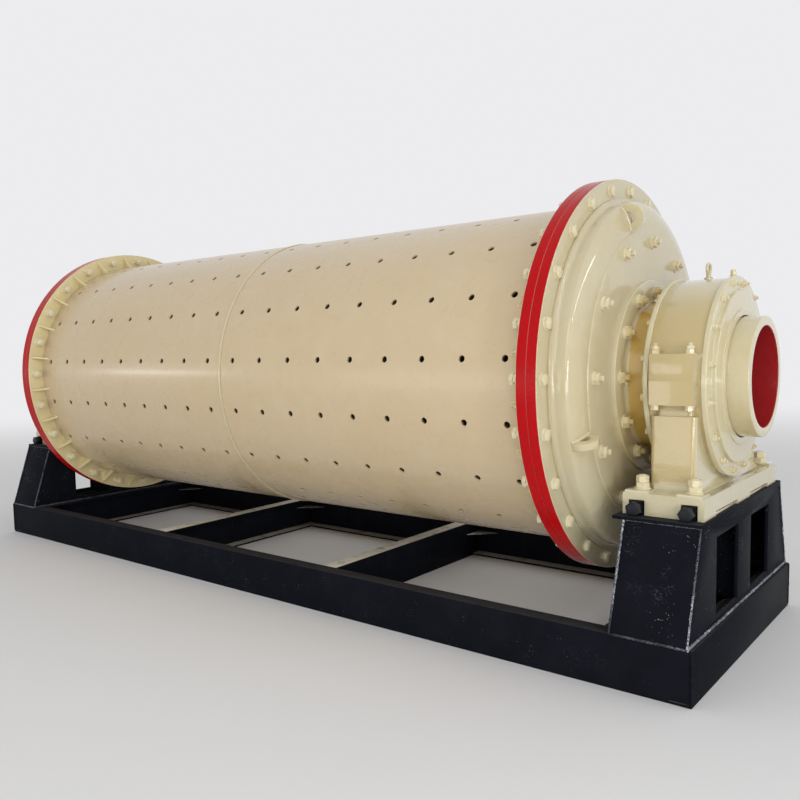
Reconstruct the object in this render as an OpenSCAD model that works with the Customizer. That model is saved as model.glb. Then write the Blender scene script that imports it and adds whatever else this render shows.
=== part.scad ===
// Ball mill on a welded skid, at full size in millimetres.
// X runs along the mill axis, Y across the skid and Z up from the floor.
// The origin is on the floor, below the middle of the drum.

/* [Drum shell] */
// Inside radius of the rolled shell
shell_in_r = 915; // [800:5:1000]
// Thickness of the shell plate
shell_wall = 28; // [16:1:40]
// Length of shell between the back faces of its flanges
shell_len = 4500; // [4300:10:5000]
// Height of the bolted flanges above the shell
flange_rise = 121; // [100:1:140]
// Thickness of each flange ring
flange_t = 55; // [40:1:80]
// Height of the weld bead round the middle of the shell
seam_h = 4; // [2:1:8]
// Width of the weld bead
seam_w = 26; // [16:1:40]
// Turn of the whole drum, with its -Y side up, in degrees
drum_turn = 1.5; // [-10:0.5:10]

/* [Liner bolt holes] */
// Number of rows of holes round the shell
hole_rows = 18; // [12:1:24]
// Number of holes in each row, half of them in each can
hole_cols = 18; // [10:2:18]
// Radius of a liner bolt hole
hole_r = 18; // [10:1:24]
// Height of the first row above the horizontal on the -Y side, in degrees
hole_first_deg = 46; // [0:1:90]

/* [Flange gussets] */
// Number of gussets behind each shell flange
gusset_count = 24; // [12:1:36]
// Reach of a gusset along the shell
gusset_len = 88; // [60:2:200]
// Thickness of a gusset
gusset_t = 14; // [8:1:24]
// Distance of a gusset's top corner below the flange rim
gusset_drop = 22; // [4:1:40]
// Length of the straight nose of a gusset at each end
gusset_nose = 8; // [4:1:40]

/* [Heads] */
// Distance from the flange face to the flat face of a head
head_depth = 124; // [110:1:160]
// Thickness of the cast head wall
head_wall = 50; // [36:1:70]
// Depth of the rounded shoulder along the axis
shoulder_d = 54; // [40:1:70]
// Width of the rounded shoulder, out to its crown
shoulder_w = 144; // [100:2:160]
// Step from the shell's outside in to the shoulder's crown
shoulder_in = 7; // [2:1:20]
// Width of the step ring round the shoulder
step_w = 27; // [16:1:34]
// Height of the step ring above the flange face
step_h = 12; // [6:1:20]
// Thickness of the lifting plates on the shoulder
lug_t = 34; // [16:1:40]
// Radius of the round end of a lifting plate
lug_r = 70; // [56:1:74]
// Radius of the eye in a lifting plate
lug_eye_r = 30; // [16:1:34]
// Height of the eye's middle above the head's flat face
lug_eye_up = 2; // [-6:1:30]
// Distance of the eye's middle inside the shoulder's crown
lug_eye_in = 64; // [40:1:80]
// Number of lifting plates on each head
lug_count = 4; // [2:1:6]
// Turn of the first lifting plate from the -Y side, in degrees
lug_first_deg = -20; // [-60:1:60]

/* [Trunnions] */
// Outside radius of the trunnion flange
tr_flange_r = 518; // [480:1:560]
// Thickness of the trunnion flange outside the head
tr_flange_t = 22; // [16:1:50]
// Radius of the spigot that centres the trunnion in the head
tr_spigot_r = 330; // [300:1:380]
// Radius of the neck between the flange and the bearing
neck_r = 400; // [370:1:420]
// Length of the neck from the flange face to the bearing
neck_len = 194; // [180:1:260]
// Radius of the journal in the bearing
journal_r = 335; // [320:1:350]
// Outside radius of the tube beyond the bearing
tube_r = 305; // [280:1:315]
// Length of the tube from the bearing's middle to its mouth
tube_out = 282; // [240:1:360]
// Radius of the bore through the trunnion
bore_r = 255; // [200:1:265]
// Chamfer at the tube's mouth
mouth_chamfer = 5; // [2:1:10]

/* [Bearings] */
// Width of the bearing
bearing_w = 180; // [140:1:200]
// Outside radius of the bearing
bearing_r = 450; // [430:1:460]
// Running clearance between the journal and the bearing
run_gap = 0.05; // [0.02:0.01:0.1]
// Seating clearance of centred parts
seat_gap = 0.1; // [0.05:0.05:0.3]
// Clearance between the neck's shoulder and the bearing
shoulder_gap = 1; // [0.5:0.5:3]
// Clearance between a cover and the turning trunnion
cover_gap = 6; // [5:0.5:10]
// Half the length of the housing along the axis
housing_half = 125; // [110:1:140]
// Outside radius of the housing
housing_r = 502; // [490:1:506]
// Outside radius of the end covers
cover_r = 511; // [500:1:516]
// Thickness of a cover's bolting ring
cover_t = 26; // [16:1:40]
// Radius of the raised boss of the outer cover
cover_boss_r = 428; // [400:1:450]
// Height of the raised boss of the outer cover
cover_boss_h = 22; // [10:1:40]
// Width of the collar round the tube on the outer cover
cover_collar_w = 36; // [16:1:60]
// Height of the collar above the boss
cover_collar_h = 10; // [4:1:20]

/* [Bearing housing] */
// Height of the mill axis above the housing's underside
housing_axis_h = 636; // [630:1:700]
// Thickness of the housing's foot
foot_h = 105; // [84:1:120]
// Height of the pads under the anchor nuts above the foot
pad_h = 12; // [4:1:20]
// Width of a pad along the mill
pad_w = 116; // [100:2:130]
// Width of a pad across the mill
pad_d = 104; // [80:2:110]
// Half the length of the foot along the mill
foot_half_x = 191; // [170:1:198]
// Half the width of the foot across the mill
foot_half_y = 643; // [620:1:680]
// Half the length of the column along the mill
column_half_x = 108; // [90:1:120]
// Half the width of the column across the mill
column_half_y = 515; // [505:1:530]
// Radius of the column's corners
column_corner_r = 24; // [16:1:50]
// Radius of the fillets between the column and the foot
root_r = 46; // [20:1:60]
// Step of the cap lugs back from the housing's end faces
lug_step = 22; // [2:1:30]
// Reach of the cap lugs from the mill axis
lug_reach = 552; // [540:1:580]
// Height of the cap's lug above the split
cap_lug_h = 129; // [90:1:160]
// Depth of the base's lug below the split
base_lug_h = 115; // [80:1:150]
// Height of the room for the bolt heads between the base's lug and the column
bolt_room_h = 55; // [40:1:80]
// Depth of that room in the column
bolt_room_d = 21; // [10:1:30]
// Width of the notch in the foot round a jacking block
notch_w = 76; // [66:1:90]
// Height of the notch in the foot
notch_h = 72; // [66:1:90]
// Depth of the notch in the foot
notch_d = 58; // [50:1:70]
// Distance of the anchor bolts from the housing's middle along the mill
anchor_x = 123; // [115:1:130]
// Width of the cored pockets in the foot's ends
pocket_w = 355; // [300:1:380]
// Height of the cored pockets
pocket_h = 24; // [16:1:36]
// Depth of the cored pockets
pocket_d = 26; // [16:1:40]
// Distance from the mill's centre plane to a pocket
pocket_in = 112; // [80:1:140]

/* [Jacking screws] */
// Width of a jacking block
block_w = 62; // [50:1:64]
// Height of a jacking block
block_h = 66; // [50:1:70]
// Thickness of a jacking block
block_t = 32; // [24:1:40]
// Distance of a block's outer face beyond the foot
block_out = 14; // [6:1:24]
// Radius of a jacking screw
jack_r = 18; // [12:1:20]
// Height of the screws above the top plate
jack_h = 34; // [28:1:40]
// Size of the screw's hexagon head across its corners
jack_hex_d = 62; // [50:1:64]
// Thickness of the screw's head
jack_head_t = 22; // [14:1:30]
// Gap between the screw's head and the block
jack_stand = 12; // [4:1:30]

/* [Pedestals] */
// Height of a pedestal's plates above the skid
pedestal_h = 508; // [440:1:600]
// Half the width of a pedestal at its top
pedestal_top_half = 712; // [690:1:740]
// Distance from the bearing's middle to the outer plate's face
pedestal_out = 198; // [192:1:220]
// Distance from the bearing's middle to the inner plate's face
pedestal_in = 158; // [150:1:180]
// Thickness of the pedestal plates
pedestal_t = 20; // [12:1:30]
// Distance of the windows from the centre plane
window_in = 116; // [90:1:130]
// Width of a window
window_w = 356; // [300:1:370]
// Height of a window
window_h = 388; // [300:1:400]
// Height of the sill below a window
window_sill = 36; // [20:1:50]
// Thickness of the top plate
top_plate_t = 16; // [12:1:30]
// Overhang of the top plate beyond the inner pedestal plate
top_plate_in = 57; // [30:1:70]
// Overhang of the top plate beyond the other pedestal plates
top_plate_lip = 5; // [2:1:12]

/* [Skid] */
// Height of the skid's outer beams
skid_h = 260; // [200:5:320]
// Half the width of the skid
skid_half_y = 885; // [860:1:960]
// Step from the pedestal's outer plate to the end of the skid
skid_step = 24; // [10:1:60]
// Width of the outer beams' flanges
beam_w = 100; // [80:1:140]
// Thickness of the beams' webs
web_t = 12; // [8:1:20]
// Thickness of the beams' flanges
beam_flange_t = 15; // [10:1:24]
// Distance of the inner beams' webs behind the inner pedestal plates' faces
inner_web_set = 38; // [24:1:60]
// Distance of the feed side's middle beam from the centre plane
feed_cross_x = 965; // [600:5:1400]
// Distance of the discharge side's middle beam from the centre plane
discharge_cross_x = 845; // [600:5:1400]
// Side of the corner gusset plates
corner_leg = 185; // [140:1:260]
// Thickness of the corner gusset plates
corner_t = 12; // [8:1:20]
// Height of the corner gusset plates
corner_z = 164; // [80:1:200]

/* [Lifting eyes] */
// Radius of the eye's ring
eye_ring_r = 27; // [18:1:30]
// Radius of the eye's bar
eye_bar_r = 8; // [5:1:10]
// Height of the eye's shank
eye_shank_h = 34; // [16:1:40]

/* [Hidden] */

paint = [0.93, 0.89, 0.70];
red = [0.72, 0.08, 0.08];
black = [0.07, 0.07, 0.08];
steel = [0.55, 0.55, 0.56];
round_fn = 96;
small_fn = 32;
hex_fn = 6;
arc_steps = 10;
full_turn = 360;
feed = -1;
discharge = 1;

shell_r = shell_in_r + shell_wall;
flange_r = shell_r + flange_rise;
hole_pitch = shell_len / hole_cols;
shoulder_out_r = shell_r - shoulder_in;
step_out_r = shoulder_out_r + step_w;
flange_back_x = shell_len / 2;
joint_x = flange_back_x + flange_t;
flange_face_x = joint_x + flange_t;
head_face_x = flange_face_x + head_depth;
head_in_x = head_face_x - head_wall;
tr_face_x = head_face_x + tr_flange_t;
bearing_in_x = tr_face_x + neck_len;
bearing_x = bearing_in_x + bearing_w / 2;
bearing_out_x = bearing_in_x + bearing_w;
mouth_x = bearing_x + tube_out;
foot_z = skid_h + pedestal_h + top_plate_t;
foot_top_z = foot_z + foot_h;
axis_z = foot_z + housing_axis_h;
lug_bottom_z = axis_z - base_lug_h;
column_top_z = lug_bottom_z - bolt_room_h;
skid_end_x = bearing_x + pedestal_out + skid_step;
inner_beam_x = bearing_x - pedestal_in;
inner_web_x = inner_beam_x + inner_web_set;
// A cut runs this far past the face that it opens
past = 1;
// A welded piece reaches this far into the one that carries it
weld_bite = 2;

// Puts a piece that is drawn for the +X end on either end of the mill.
module at_end(end) {
    mirror([end < 0 ? 1 : 0, 0, 0])
        children();
}

// Turns a profile of [radius, distance along the mill] round the mill axis.
module turned(points) {
    translate([0, 0, axis_z])
        rotate([0, 90, 0])
            rotate_extrude($fn = round_fn)
                polygon(points);
}

// A cylinder on the mill axis from x0 to x1.
module axle(r, x0, x1) {
    translate([x0, 0, axis_z])
        rotate([0, 90, 0])
            cylinder(r = r, h = x1 - x0, $fn = round_fn);
}

// Copies a piece of the drum round the mill axis.
module round_axis(count, first = 0) {
    for (i = [0 : count - 1])
        translate([0, 0, axis_z])
            rotate([first - drum_turn + i * full_turn / count, 0, 0])
                children();
}

// One of the two rolled cans of the shell, with its liner bolt holes and half of the weld bead.
module shell_can(end) {
    cols = hole_cols / 2;
    at_end(end)
        color(paint)
            difference() {
                union() {
                    axle(shell_r, 0, joint_x);
                    axle(shell_r + seam_h, 0, seam_w / 2);
                }
                axle(shell_in_r, -past, joint_x + past);
                round_axis(hole_rows, 90 - hole_first_deg)
                    for (col = [0 : cols - 1])
                        translate([(col + 0.5) * hole_pitch, 0, shell_in_r - hole_r])
                            cylinder(r = hole_r, h = shell_wall + 2 * hole_r, $fn = small_fn);
            }
}

// One gusset between the shell and the back of its flange, standing on the +Z side.
module flange_gusset() {
    rise = flange_r - gusset_drop - shell_r;
    translate([flange_back_x, 0, shell_r])
        rotate([90, 0, 0])
            translate([0, 0, -gusset_t / 2])
                linear_extrude(gusset_t)
                    polygon([[weld_bite, 0], [weld_bite, rise], [-gusset_nose, rise],
                        [-gusset_len, gusset_nose], [-gusset_len, 0]]);
}

// The shell's flange ring with its gussets.
module shell_flange(end) {
    at_end(end)
        color(paint)
            difference() {
                union() {
                    axle(flange_r, flange_back_x, joint_x);
                    round_axis(gusset_count, full_turn / gusset_count / 2)
                        flange_gusset();
                }
                axle(shell_r, flange_back_x - gusset_len - past, joint_x + past);
            }
}

// Points of an arc about a centre, from angle a0 to a1, with half axes r = [across, up].
function arc(centre, r, a0, a1) =
    [for (i = [0 : arc_steps], a = a0 + (a1 - a0) * i / arc_steps) centre + [r.x * cos(a), r.y * sin(a)]];

// Middle of the shoulder's curve, as [radius, distance along the mill].
function shoulder_middle() = [shoulder_out_r - shoulder_w, head_face_x - shoulder_d];

// The dished cast head with its flange, step ring, rounded shoulder and spigot hole.
module head(end) {
    outer = [shoulder_w, shoulder_d];
    inner = [shoulder_w - head_wall, shoulder_d];
    step_x = flange_face_x + step_h;
    at_end(end)
        color(paint)
            turned(concat(
                [[tr_spigot_r + seat_gap, head_in_x], [tr_spigot_r + seat_gap, head_face_x]],
                arc(shoulder_middle(), outer, 90, 0),
                [[shoulder_out_r, step_x], [step_out_r, step_x], [step_out_r, flange_face_x],
                    [flange_r, flange_face_x], [flange_r, joint_x], [shoulder_out_r - head_wall, joint_x]],
                arc(shoulder_middle() - [0, head_wall], inner, 0, 90)));
}

// Lifting plates that stand on a head's shoulder, each with an eye.
module head_lugs(end) {
    eye_x = head_face_x + lug_eye_up;
    eye_r = shoulder_out_r - lug_eye_in;
    at_end(end)
        color(paint)
            round_axis(lug_count, 90 - lug_first_deg)
                rotate([90, 0, 0])
                    translate([0, 0, -lug_t / 2])
                        linear_extrude(lug_t)
                            difference() {
                                translate([eye_x, eye_r])
                                    circle(r = lug_r, $fn = small_fn);
                                polygon([for (p = concat([[0, head_face_x]], arc(shoulder_middle(),
                                        [shoulder_w, shoulder_d], 90, 0), [[shoulder_out_r, flange_face_x],
                                        [0, flange_face_x]])) [p.y, p.x]]);
                                translate([eye_x, eye_r])
                                    circle(r = lug_eye_r, $fn = small_fn);
                            }
}

// The trunnion: spigot, bolting flange, neck, journal and plain tube round one bore.
module trunnion(end) {
    neck_end_x = bearing_in_x - shoulder_gap;
    at_end(end)
        color(paint)
            turned([[bore_r, head_in_x], [tr_spigot_r, head_in_x], [tr_spigot_r, head_face_x],
                [tr_flange_r, head_face_x], [tr_flange_r, tr_face_x], [neck_r, tr_face_x],
                [neck_r, neck_end_x], [journal_r, neck_end_x], [journal_r, bearing_out_x],
                [tube_r, bearing_out_x], [tube_r, mouth_x - mouth_chamfer],
                [tube_r - mouth_chamfer, mouth_x], [bore_r, mouth_x]]);
}

// The bearing ring that carries the journal.
module bearing(end) {
    at_end(end)
        color(steel)
            difference() {
                axle(bearing_r, bearing_in_x, bearing_out_x);
                axle(journal_r + run_gap, bearing_in_x - past, bearing_out_x + past);
            }
}

// Half the space round the mill axis, above (1) or below (-1) the split of the housing.
module half_space(side) {
    reach = 2 * foot_half_y;
    translate([bearing_x - reach / 2, -reach / 2, axis_z + (side > 0 ? 0 : -reach)])
        cube([reach, reach, reach]);
}

// A box centred on the bearing in X and on the mill in Y.
module block(half_x, half_y, z0, z1) {
    translate([bearing_x - half_x, -half_y, z0])
        cube([2 * half_x, 2 * half_y, z1 - z0]);
}

// Places a piece at the four corners of the housing, on the foot's outline in Y.
module at_corners() {
    for (sx = [-1, 1], sy = [-1, 1])
        translate([bearing_x + sx * anchor_x, 0, foot_z])
            mirror([0, sy > 0 ? 0 : 1, 0])
                children();
}

// The cap lug on one side of the housing, clear of the covers, from z0 to z1.
module housing_lugs(z0, z1) {
    block(housing_half - lug_step, lug_reach, z0, z1);
}

// The column from z0 to z1 with rounded corners, made smaller by inset on its sides.
module column(inset, z0, z1) {
    x = column_half_x - inset - column_corner_r;
    y = column_half_y - inset - column_corner_r;
    r = [column_corner_r, column_corner_r];
    translate([bearing_x, 0, z0])
        linear_extrude(z1 - z0)
            polygon(concat(arc([x, y], r, 0, 90), arc([-x, y], r, 90, 180), arc([-x, -y], r, 180, 270),
                arc([x, -y], r, 270, 360)));
}

// A hollow fillet of length l, centred on X, between a wall at y = 0 and a floor at z = 0.
module root_fillet(l) {
    rotate([90, 0, 90])
        translate([0, 0, -l / 2])
            linear_extrude(l)
                polygon(concat([[-weld_bite, -weld_bite], [root_r, -weld_bite]],
                    arc([root_r, root_r], [root_r, root_r], 270, 180), [[-weld_bite, root_r]]));
}

// The lower half of the split housing with its column, foot, lugs and notches.
module housing_base(end) {
    at_end(end)
        color(paint)
            difference() {
                union() {
                    intersection() {
                        axle(housing_r, bearing_x - housing_half, bearing_x + housing_half);
                        half_space(-1);
                    }
                    column(0, foot_z, column_top_z);
                    column(bolt_room_d, column_top_z - weld_bite, axis_z);
                    for (turn = [0, 180])
                        translate([bearing_x, 0, foot_top_z])
                            rotate([0, 0, turn]) {
                                translate([0, column_half_y, 0])
                                    root_fillet(2 * (column_half_x - column_corner_r));
                                translate([column_half_x, 0, 0])
                                    rotate([0, 0, -90])
                                        root_fillet(2 * (column_half_y - column_corner_r));
                            }
                    block(foot_half_x, foot_half_y, foot_z, foot_top_z);
                    at_corners()
                        translate([-pad_w / 2, foot_half_y - pad_d, foot_h - weld_bite])
                            cube([pad_w, pad_d, pad_h + weld_bite]);
                    housing_lugs(lug_bottom_z, axis_z);
                }
                axle(bearing_r + seat_gap, bearing_x - housing_half - past, bearing_x + housing_half + past);
                at_corners()
                    translate([-notch_w / 2, foot_half_y - notch_d, -past])
                        cube([notch_w, notch_d + past, notch_h + past]);
                for (sx = [-1, 1], sy = [-1, 1])
                    translate([bearing_x + sx * (foot_half_x - pocket_d / 2), sy * (pocket_in + pocket_w / 2),
                        foot_z + pocket_h / 2 - past])
                        cube([pocket_d + 2 * past, pocket_w, pocket_h + 2 * past], center = true);
            }
}

// The upper half of the split housing with its lugs.
module housing_cap(end) {
    at_end(end)
        color(paint)
            difference() {
                union() {
                    intersection() {
                        axle(housing_r, bearing_x - housing_half, bearing_x + housing_half);
                        half_space(1);
                    }
                    housing_lugs(axis_z, axis_z + cap_lug_h);
                }
                axle(bearing_r + seat_gap, bearing_x - housing_half - past, bearing_x + housing_half + past);
            }
}

// The cover on the drum side of the housing, with the spigot that holds the bearing.
module inner_cover(end) {
    face_x = bearing_x - housing_half;
    hole_r_in = neck_r + cover_gap;
    at_end(end)
        color(paint)
            turned([[hole_r_in, face_x - cover_t], [cover_r, face_x - cover_t], [cover_r, face_x],
                [bearing_r, face_x], [bearing_r, bearing_in_x], [hole_r_in, bearing_in_x]]);
}

// The stepped cover on the outer side of the housing, with a collar round the tube.
module outer_cover(end) {
    face_x = bearing_x + housing_half;
    hole_r_out = tube_r + cover_gap;
    spigot_in_r = journal_r + cover_gap;
    ring_x = face_x + cover_t;
    boss_x = ring_x + cover_boss_h;
    collar_r = hole_r_out + cover_collar_w;
    at_end(end)
        color(paint)
            turned([[hole_r_out, face_x], [spigot_in_r, face_x], [spigot_in_r, bearing_out_x],
                [bearing_r, bearing_out_x], [bearing_r, face_x], [cover_r, face_x],
                [cover_r, ring_x], [cover_boss_r, ring_x], [cover_boss_r, boss_x], [collar_r, boss_x],
                [collar_r, boss_x + cover_collar_h], [hole_r_out, boss_x + cover_collar_h]]);
}

// The lifting eye that is screwed into the top of the cap, with its ring across the mill.
module lifting_eye(end) {
    at_end(end)
        color(paint)
            translate([bearing_x, 0, axis_z]) {
                difference() {
                    cylinder(r = eye_bar_r, h = housing_r + eye_shank_h, $fn = small_fn);
                    translate([-housing_half, 0, 0])
                        rotate([0, 90, 0])
                            cylinder(r = housing_r, h = 2 * housing_half, $fn = round_fn);
                }
                translate([0, 0, housing_r + eye_shank_h + eye_ring_r - eye_bar_r])
                    rotate([0, 90, 0])
                        rotate_extrude($fn = small_fn)
                            translate([eye_ring_r, 0])
                                circle(r = eye_bar_r, $fn = small_fn);
            }
}

// The blocks on the top plate that carry the jacking screws.
module jack_blocks(end) {
    at_end(end)
        color(black)
            at_corners()
                difference() {
                    translate([-block_w / 2, foot_half_y + block_out - block_t, 0])
                        cube([block_w, block_t, block_h]);
                    translate([0, foot_half_y - notch_d, jack_h])
                        rotate([-90, 0, 0])
                            cylinder(r = jack_r, h = notch_d + block_out + past, $fn = small_fn);
                }
}

// The screws that push the foot sideways, from the notch's wall to their hexagon heads.
module jack_screws(end) {
    shank = notch_d + block_out + jack_stand;
    at_end(end)
        color(black)
            at_corners()
                translate([0, foot_half_y - notch_d, jack_h])
                    rotate([-90, 0, 0]) {
                        cylinder(r = jack_r, h = shank, $fn = small_fn);
                        translate([0, 0, shank])
                            cylinder(d = jack_hex_d, h = jack_head_t, $fn = hex_fn);
                    }
}

// The plate on top of a pedestal.
module top_plate(end) {
    x0 = inner_beam_x - top_plate_in;
    x1 = bearing_x + pedestal_out + top_plate_lip;
    half_y = pedestal_top_half + top_plate_lip;
    at_end(end)
        color(black)
            translate([x0, -half_y, foot_z - top_plate_t])
                cube([x1 - x0, 2 * half_y, top_plate_t]);
}

// Outline of a pedestal across the mill, made smaller by inset on its sides.
module pedestal_outline(inset) {
    polygon([[-skid_half_y + inset, 0], [skid_half_y - inset, 0],
        [pedestal_top_half - inset, pedestal_h], [-pedestal_top_half + inset, pedestal_h]]);
}

// Puts a flat outline, drawn across the mill, at x0 with thickness t.
module across(x0, t) {
    translate([x0, 0, skid_h])
        rotate([90, 0, 90])
            linear_extrude(t)
                children();
}

// A welded pedestal: two windowed plates, two sloping sides and a middle rib.
module pedestal(end) {
    x0 = bearing_x - pedestal_in;
    x1 = bearing_x + pedestal_out;
    at_end(end)
        color(black)
            difference() {
                across(x0, x1 - x0)
                    pedestal_outline(0);
                difference() {
                    across(x0 + pedestal_t, x1 - x0 - 2 * pedestal_t)
                        difference() {
                            pedestal_outline(pedestal_t);
                            translate([-pedestal_t / 2, 0])
                                square([pedestal_t, pedestal_h]);
                        }
                }
                for (side = [-1, 1])
                    translate([x0 - past, side > 0 ? window_in : -window_in - window_w, skid_h + window_sill])
                        cube([x1 - x0 + 2 * past, window_w, window_h]);
            }
}

// Section of a channel beam: its web at 0 and its flanges reaching inwards in +X.
module channel() {
    difference() {
        square([beam_w, skid_h]);
        translate([web_t, beam_flange_t])
            square([beam_w, skid_h - 2 * beam_flange_t]);
    }
}

// A channel along the mill on the -Y side, whose web runs on to the end channels' webs.
module side_beam() {
    reach = skid_end_x - web_t;
    translate([beam_w - skid_end_x, -skid_half_y, 0])
        rotate([90, 0, 90])
            linear_extrude(2 * (skid_end_x - beam_w))
                channel();
    translate([-reach, -skid_half_y, beam_flange_t])
        cube([2 * reach, web_t, skid_h - 2 * beam_flange_t]);
}

// A channel across the skid from -half_y to half_y, with its web's outer face at x.
module across_beam(end, x, half_y) {
    at_end(end)
        color(black)
            translate([x, half_y, 0])
                rotate([90, 0, 0])
                    linear_extrude(2 * half_y)
                        mirror([1, 0])
                            channel();
}

// A channel between the side channels' flanges, whose web runs on to their webs.
module cross_beam(end, x) {
    reach = skid_half_y - web_t;
    across_beam(end, x, skid_half_y - beam_w);
    at_end(end)
        color(black)
            translate([x - web_t, -reach, beam_flange_t])
                cube([web_t, 2 * reach, skid_h - 2 * beam_flange_t]);
}

// A triangular plate in each of the two corners between a web's face at x and the side channels.
module corner_pair(x, way) {
    for (side = [0, 1])
        mirror([0, side, 0])
            translate([x, skid_half_y - web_t, corner_z])
                mirror([way < 0 ? 1 : 0, 0, 0])
                    linear_extrude(corner_t)
                        polygon([[0, 0], [corner_leg, 0], [0, -corner_leg]]);
}

// Triangular plates in the corners between the cross channels and the side channels.
module corner_plates() {
    color(black) {
        corner_pair(web_t - feed_cross_x, 1);
        corner_pair(-feed_cross_x, -1);
        corner_pair(discharge_cross_x, 1);
        corner_pair(discharge_cross_x - web_t, -1);
        corner_pair(web_t - inner_web_x, 1);
        corner_pair(inner_web_x - web_t, -1);
    }
}

shell_can(feed);  // feed_shell
shell_can(discharge);  // discharge_shell
shell_flange(feed);  // feed_shell_flange
shell_flange(discharge);  // discharge_shell_flange
head(feed);  // feed_head
head(discharge);  // discharge_head
head_lugs(feed);  // feed_head_lugs
head_lugs(discharge);  // discharge_head_lugs
trunnion(feed);  // feed_trunnion
trunnion(discharge);  // discharge_trunnion
bearing(feed);  // feed_bearing
bearing(discharge);  // discharge_bearing
housing_base(feed);  // feed_housing_base
housing_base(discharge);  // discharge_housing_base
housing_cap(feed);  // feed_housing_cap
housing_cap(discharge);  // discharge_housing_cap
inner_cover(feed);  // feed_inner_cover
inner_cover(discharge);  // discharge_inner_cover
outer_cover(feed);  // feed_outer_cover
outer_cover(discharge);  // discharge_outer_cover
lifting_eye(feed);  // feed_lifting_eye
lifting_eye(discharge);  // discharge_lifting_eye
jack_blocks(feed);  // feed_jack_blocks
jack_blocks(discharge);  // discharge_jack_blocks
jack_screws(feed);  // feed_jack_screws
jack_screws(discharge);  // discharge_jack_screws
top_plate(feed);  // feed_top_plate
top_plate(discharge);  // discharge_top_plate
pedestal(feed);  // feed_pedestal
pedestal(discharge);  // discharge_pedestal
color(black) side_beam();  // front_side_beam
color(black) mirror([0, 1, 0]) side_beam();  // back_side_beam
across_beam(feed, skid_end_x, skid_half_y);  // feed_end_beam
across_beam(discharge, skid_end_x, skid_half_y);  // discharge_end_beam
cross_beam(feed, inner_web_x);  // feed_inner_beam
cross_beam(discharge, inner_web_x);  // discharge_inner_beam
cross_beam(feed, feed_cross_x);  // feed_cross_beam
cross_beam(discharge, discharge_cross_x);  // discharge_cross_beam
corner_plates();
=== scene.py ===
"""Looks of a ball mill on a welded skid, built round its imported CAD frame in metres.

X runs along the mill axis, Y across the skid and Z up from the floor. The mill is the same at
both ends, so each end piece is modelled at the +X end and mirrored for the other one.
"""

import logging
import math
import random
from dataclasses import dataclass, field
from enum import Enum
from typing import Any, Callable, Iterable, Sequence

import bmesh
import bpy
from mathutils import Matrix, Vector


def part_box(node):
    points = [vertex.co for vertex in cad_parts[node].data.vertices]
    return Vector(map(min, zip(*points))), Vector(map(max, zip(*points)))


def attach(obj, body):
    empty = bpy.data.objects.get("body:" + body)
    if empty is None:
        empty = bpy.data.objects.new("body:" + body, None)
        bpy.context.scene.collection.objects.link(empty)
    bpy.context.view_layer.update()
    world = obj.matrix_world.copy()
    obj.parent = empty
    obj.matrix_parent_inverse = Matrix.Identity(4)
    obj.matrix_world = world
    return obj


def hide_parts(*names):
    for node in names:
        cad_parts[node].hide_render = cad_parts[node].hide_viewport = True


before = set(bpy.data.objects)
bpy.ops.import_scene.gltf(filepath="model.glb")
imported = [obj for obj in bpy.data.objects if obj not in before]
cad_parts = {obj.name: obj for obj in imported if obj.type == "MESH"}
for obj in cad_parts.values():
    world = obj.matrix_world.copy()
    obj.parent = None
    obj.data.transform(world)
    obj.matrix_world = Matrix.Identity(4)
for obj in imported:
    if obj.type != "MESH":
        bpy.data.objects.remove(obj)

log = logging.getLogger("mill")

Colour = tuple[float, float, float, float]
Point = tuple[float, float, float]
Piece = bpy.types.Object
Material = bpy.types.Material

MIRROR_X = Matrix.Scale(-1, 4, (1, 0, 0))
FULL_TURN = 2 * math.pi
SIDES = (-1, 1)
CORNERS = [(sx, sy) for sx in SIDES for sy in SIDES]
SEAT_GAP = 0.0004
JOINT_X = 2.305
STEP_RING_R = 0.9640
FLAT_R = 0.7932
BEARING_LOW, BEARING_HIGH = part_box("discharge_bearing")
AXIS_Z = (BEARING_LOW.z + BEARING_HIGH.z) / 2
BEARING_X = (BEARING_LOW.x + BEARING_HIGH.x) / 2


class Body(Enum):
    """CAD bodies that pieces ride on."""

    STAND = "stand"
    DRUM = "drum"


class Slot(Enum):
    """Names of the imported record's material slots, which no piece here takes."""

    MILL = "mill_paint"
    FRAME = "frame_paint"


class RedZone(Enum):
    """Where a cream piece is painted red."""

    NONE = "none"
    RIM = "rim"
    BORE = "bore"


class Element(Enum):
    """What is picked in edit mode."""

    FACE = "FACE"
    EDGE = "EDGE"


def from_srgb(red: float, green: float, blue: float) -> Colour:
    """Turns a display colour of 0 to 255 into a linear colour for a shader.

    Args:
        red: Red of the display colour.
        green: Green of the display colour.
        blue: Blue of the display colour.

    Returns:
        The linear colour with alpha 1.
    """

    def linear(value: float) -> float:
        """Undoes the display curve of one channel."""
        share = value / 255
        return share / 12.92 if share <= 0.04045 else ((share + 0.055) / 1.055) ** 2.4

    return (linear(red), linear(green), linear(blue), 1.0)


# Tints that wear, dirt and light paint give the cream and red, and painted light and shade: warm bounce, lit
# flange back, recess and crease shade, joint highlight and the shaded inside
PALE_CREAM = from_srgb(226, 220, 196)
WARM_CREAM = from_srgb(182, 157, 95)
FLANGE_BACK_CREAM = from_srgb(232, 214, 158)
RECESS_OCHRE = from_srgb(194, 158, 72)
RUN_BROWN = from_srgb(150, 128, 84)
DUST_BROWN = from_srgb(150, 138, 112)
SPECK_BROWN = from_srgb(116, 88, 56)
CREASE_BROWN = from_srgb(168, 142, 92)
SETTLED_DUST = from_srgb(214, 210, 198)
BARE_INSIDE = from_srgb(34, 28, 24)
DARK_RED = from_srgb(146, 26, 30)
DUSTY_RED = from_srgb(190, 74, 76)
WORN_RED = from_srgb(232, 140, 130)

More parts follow.
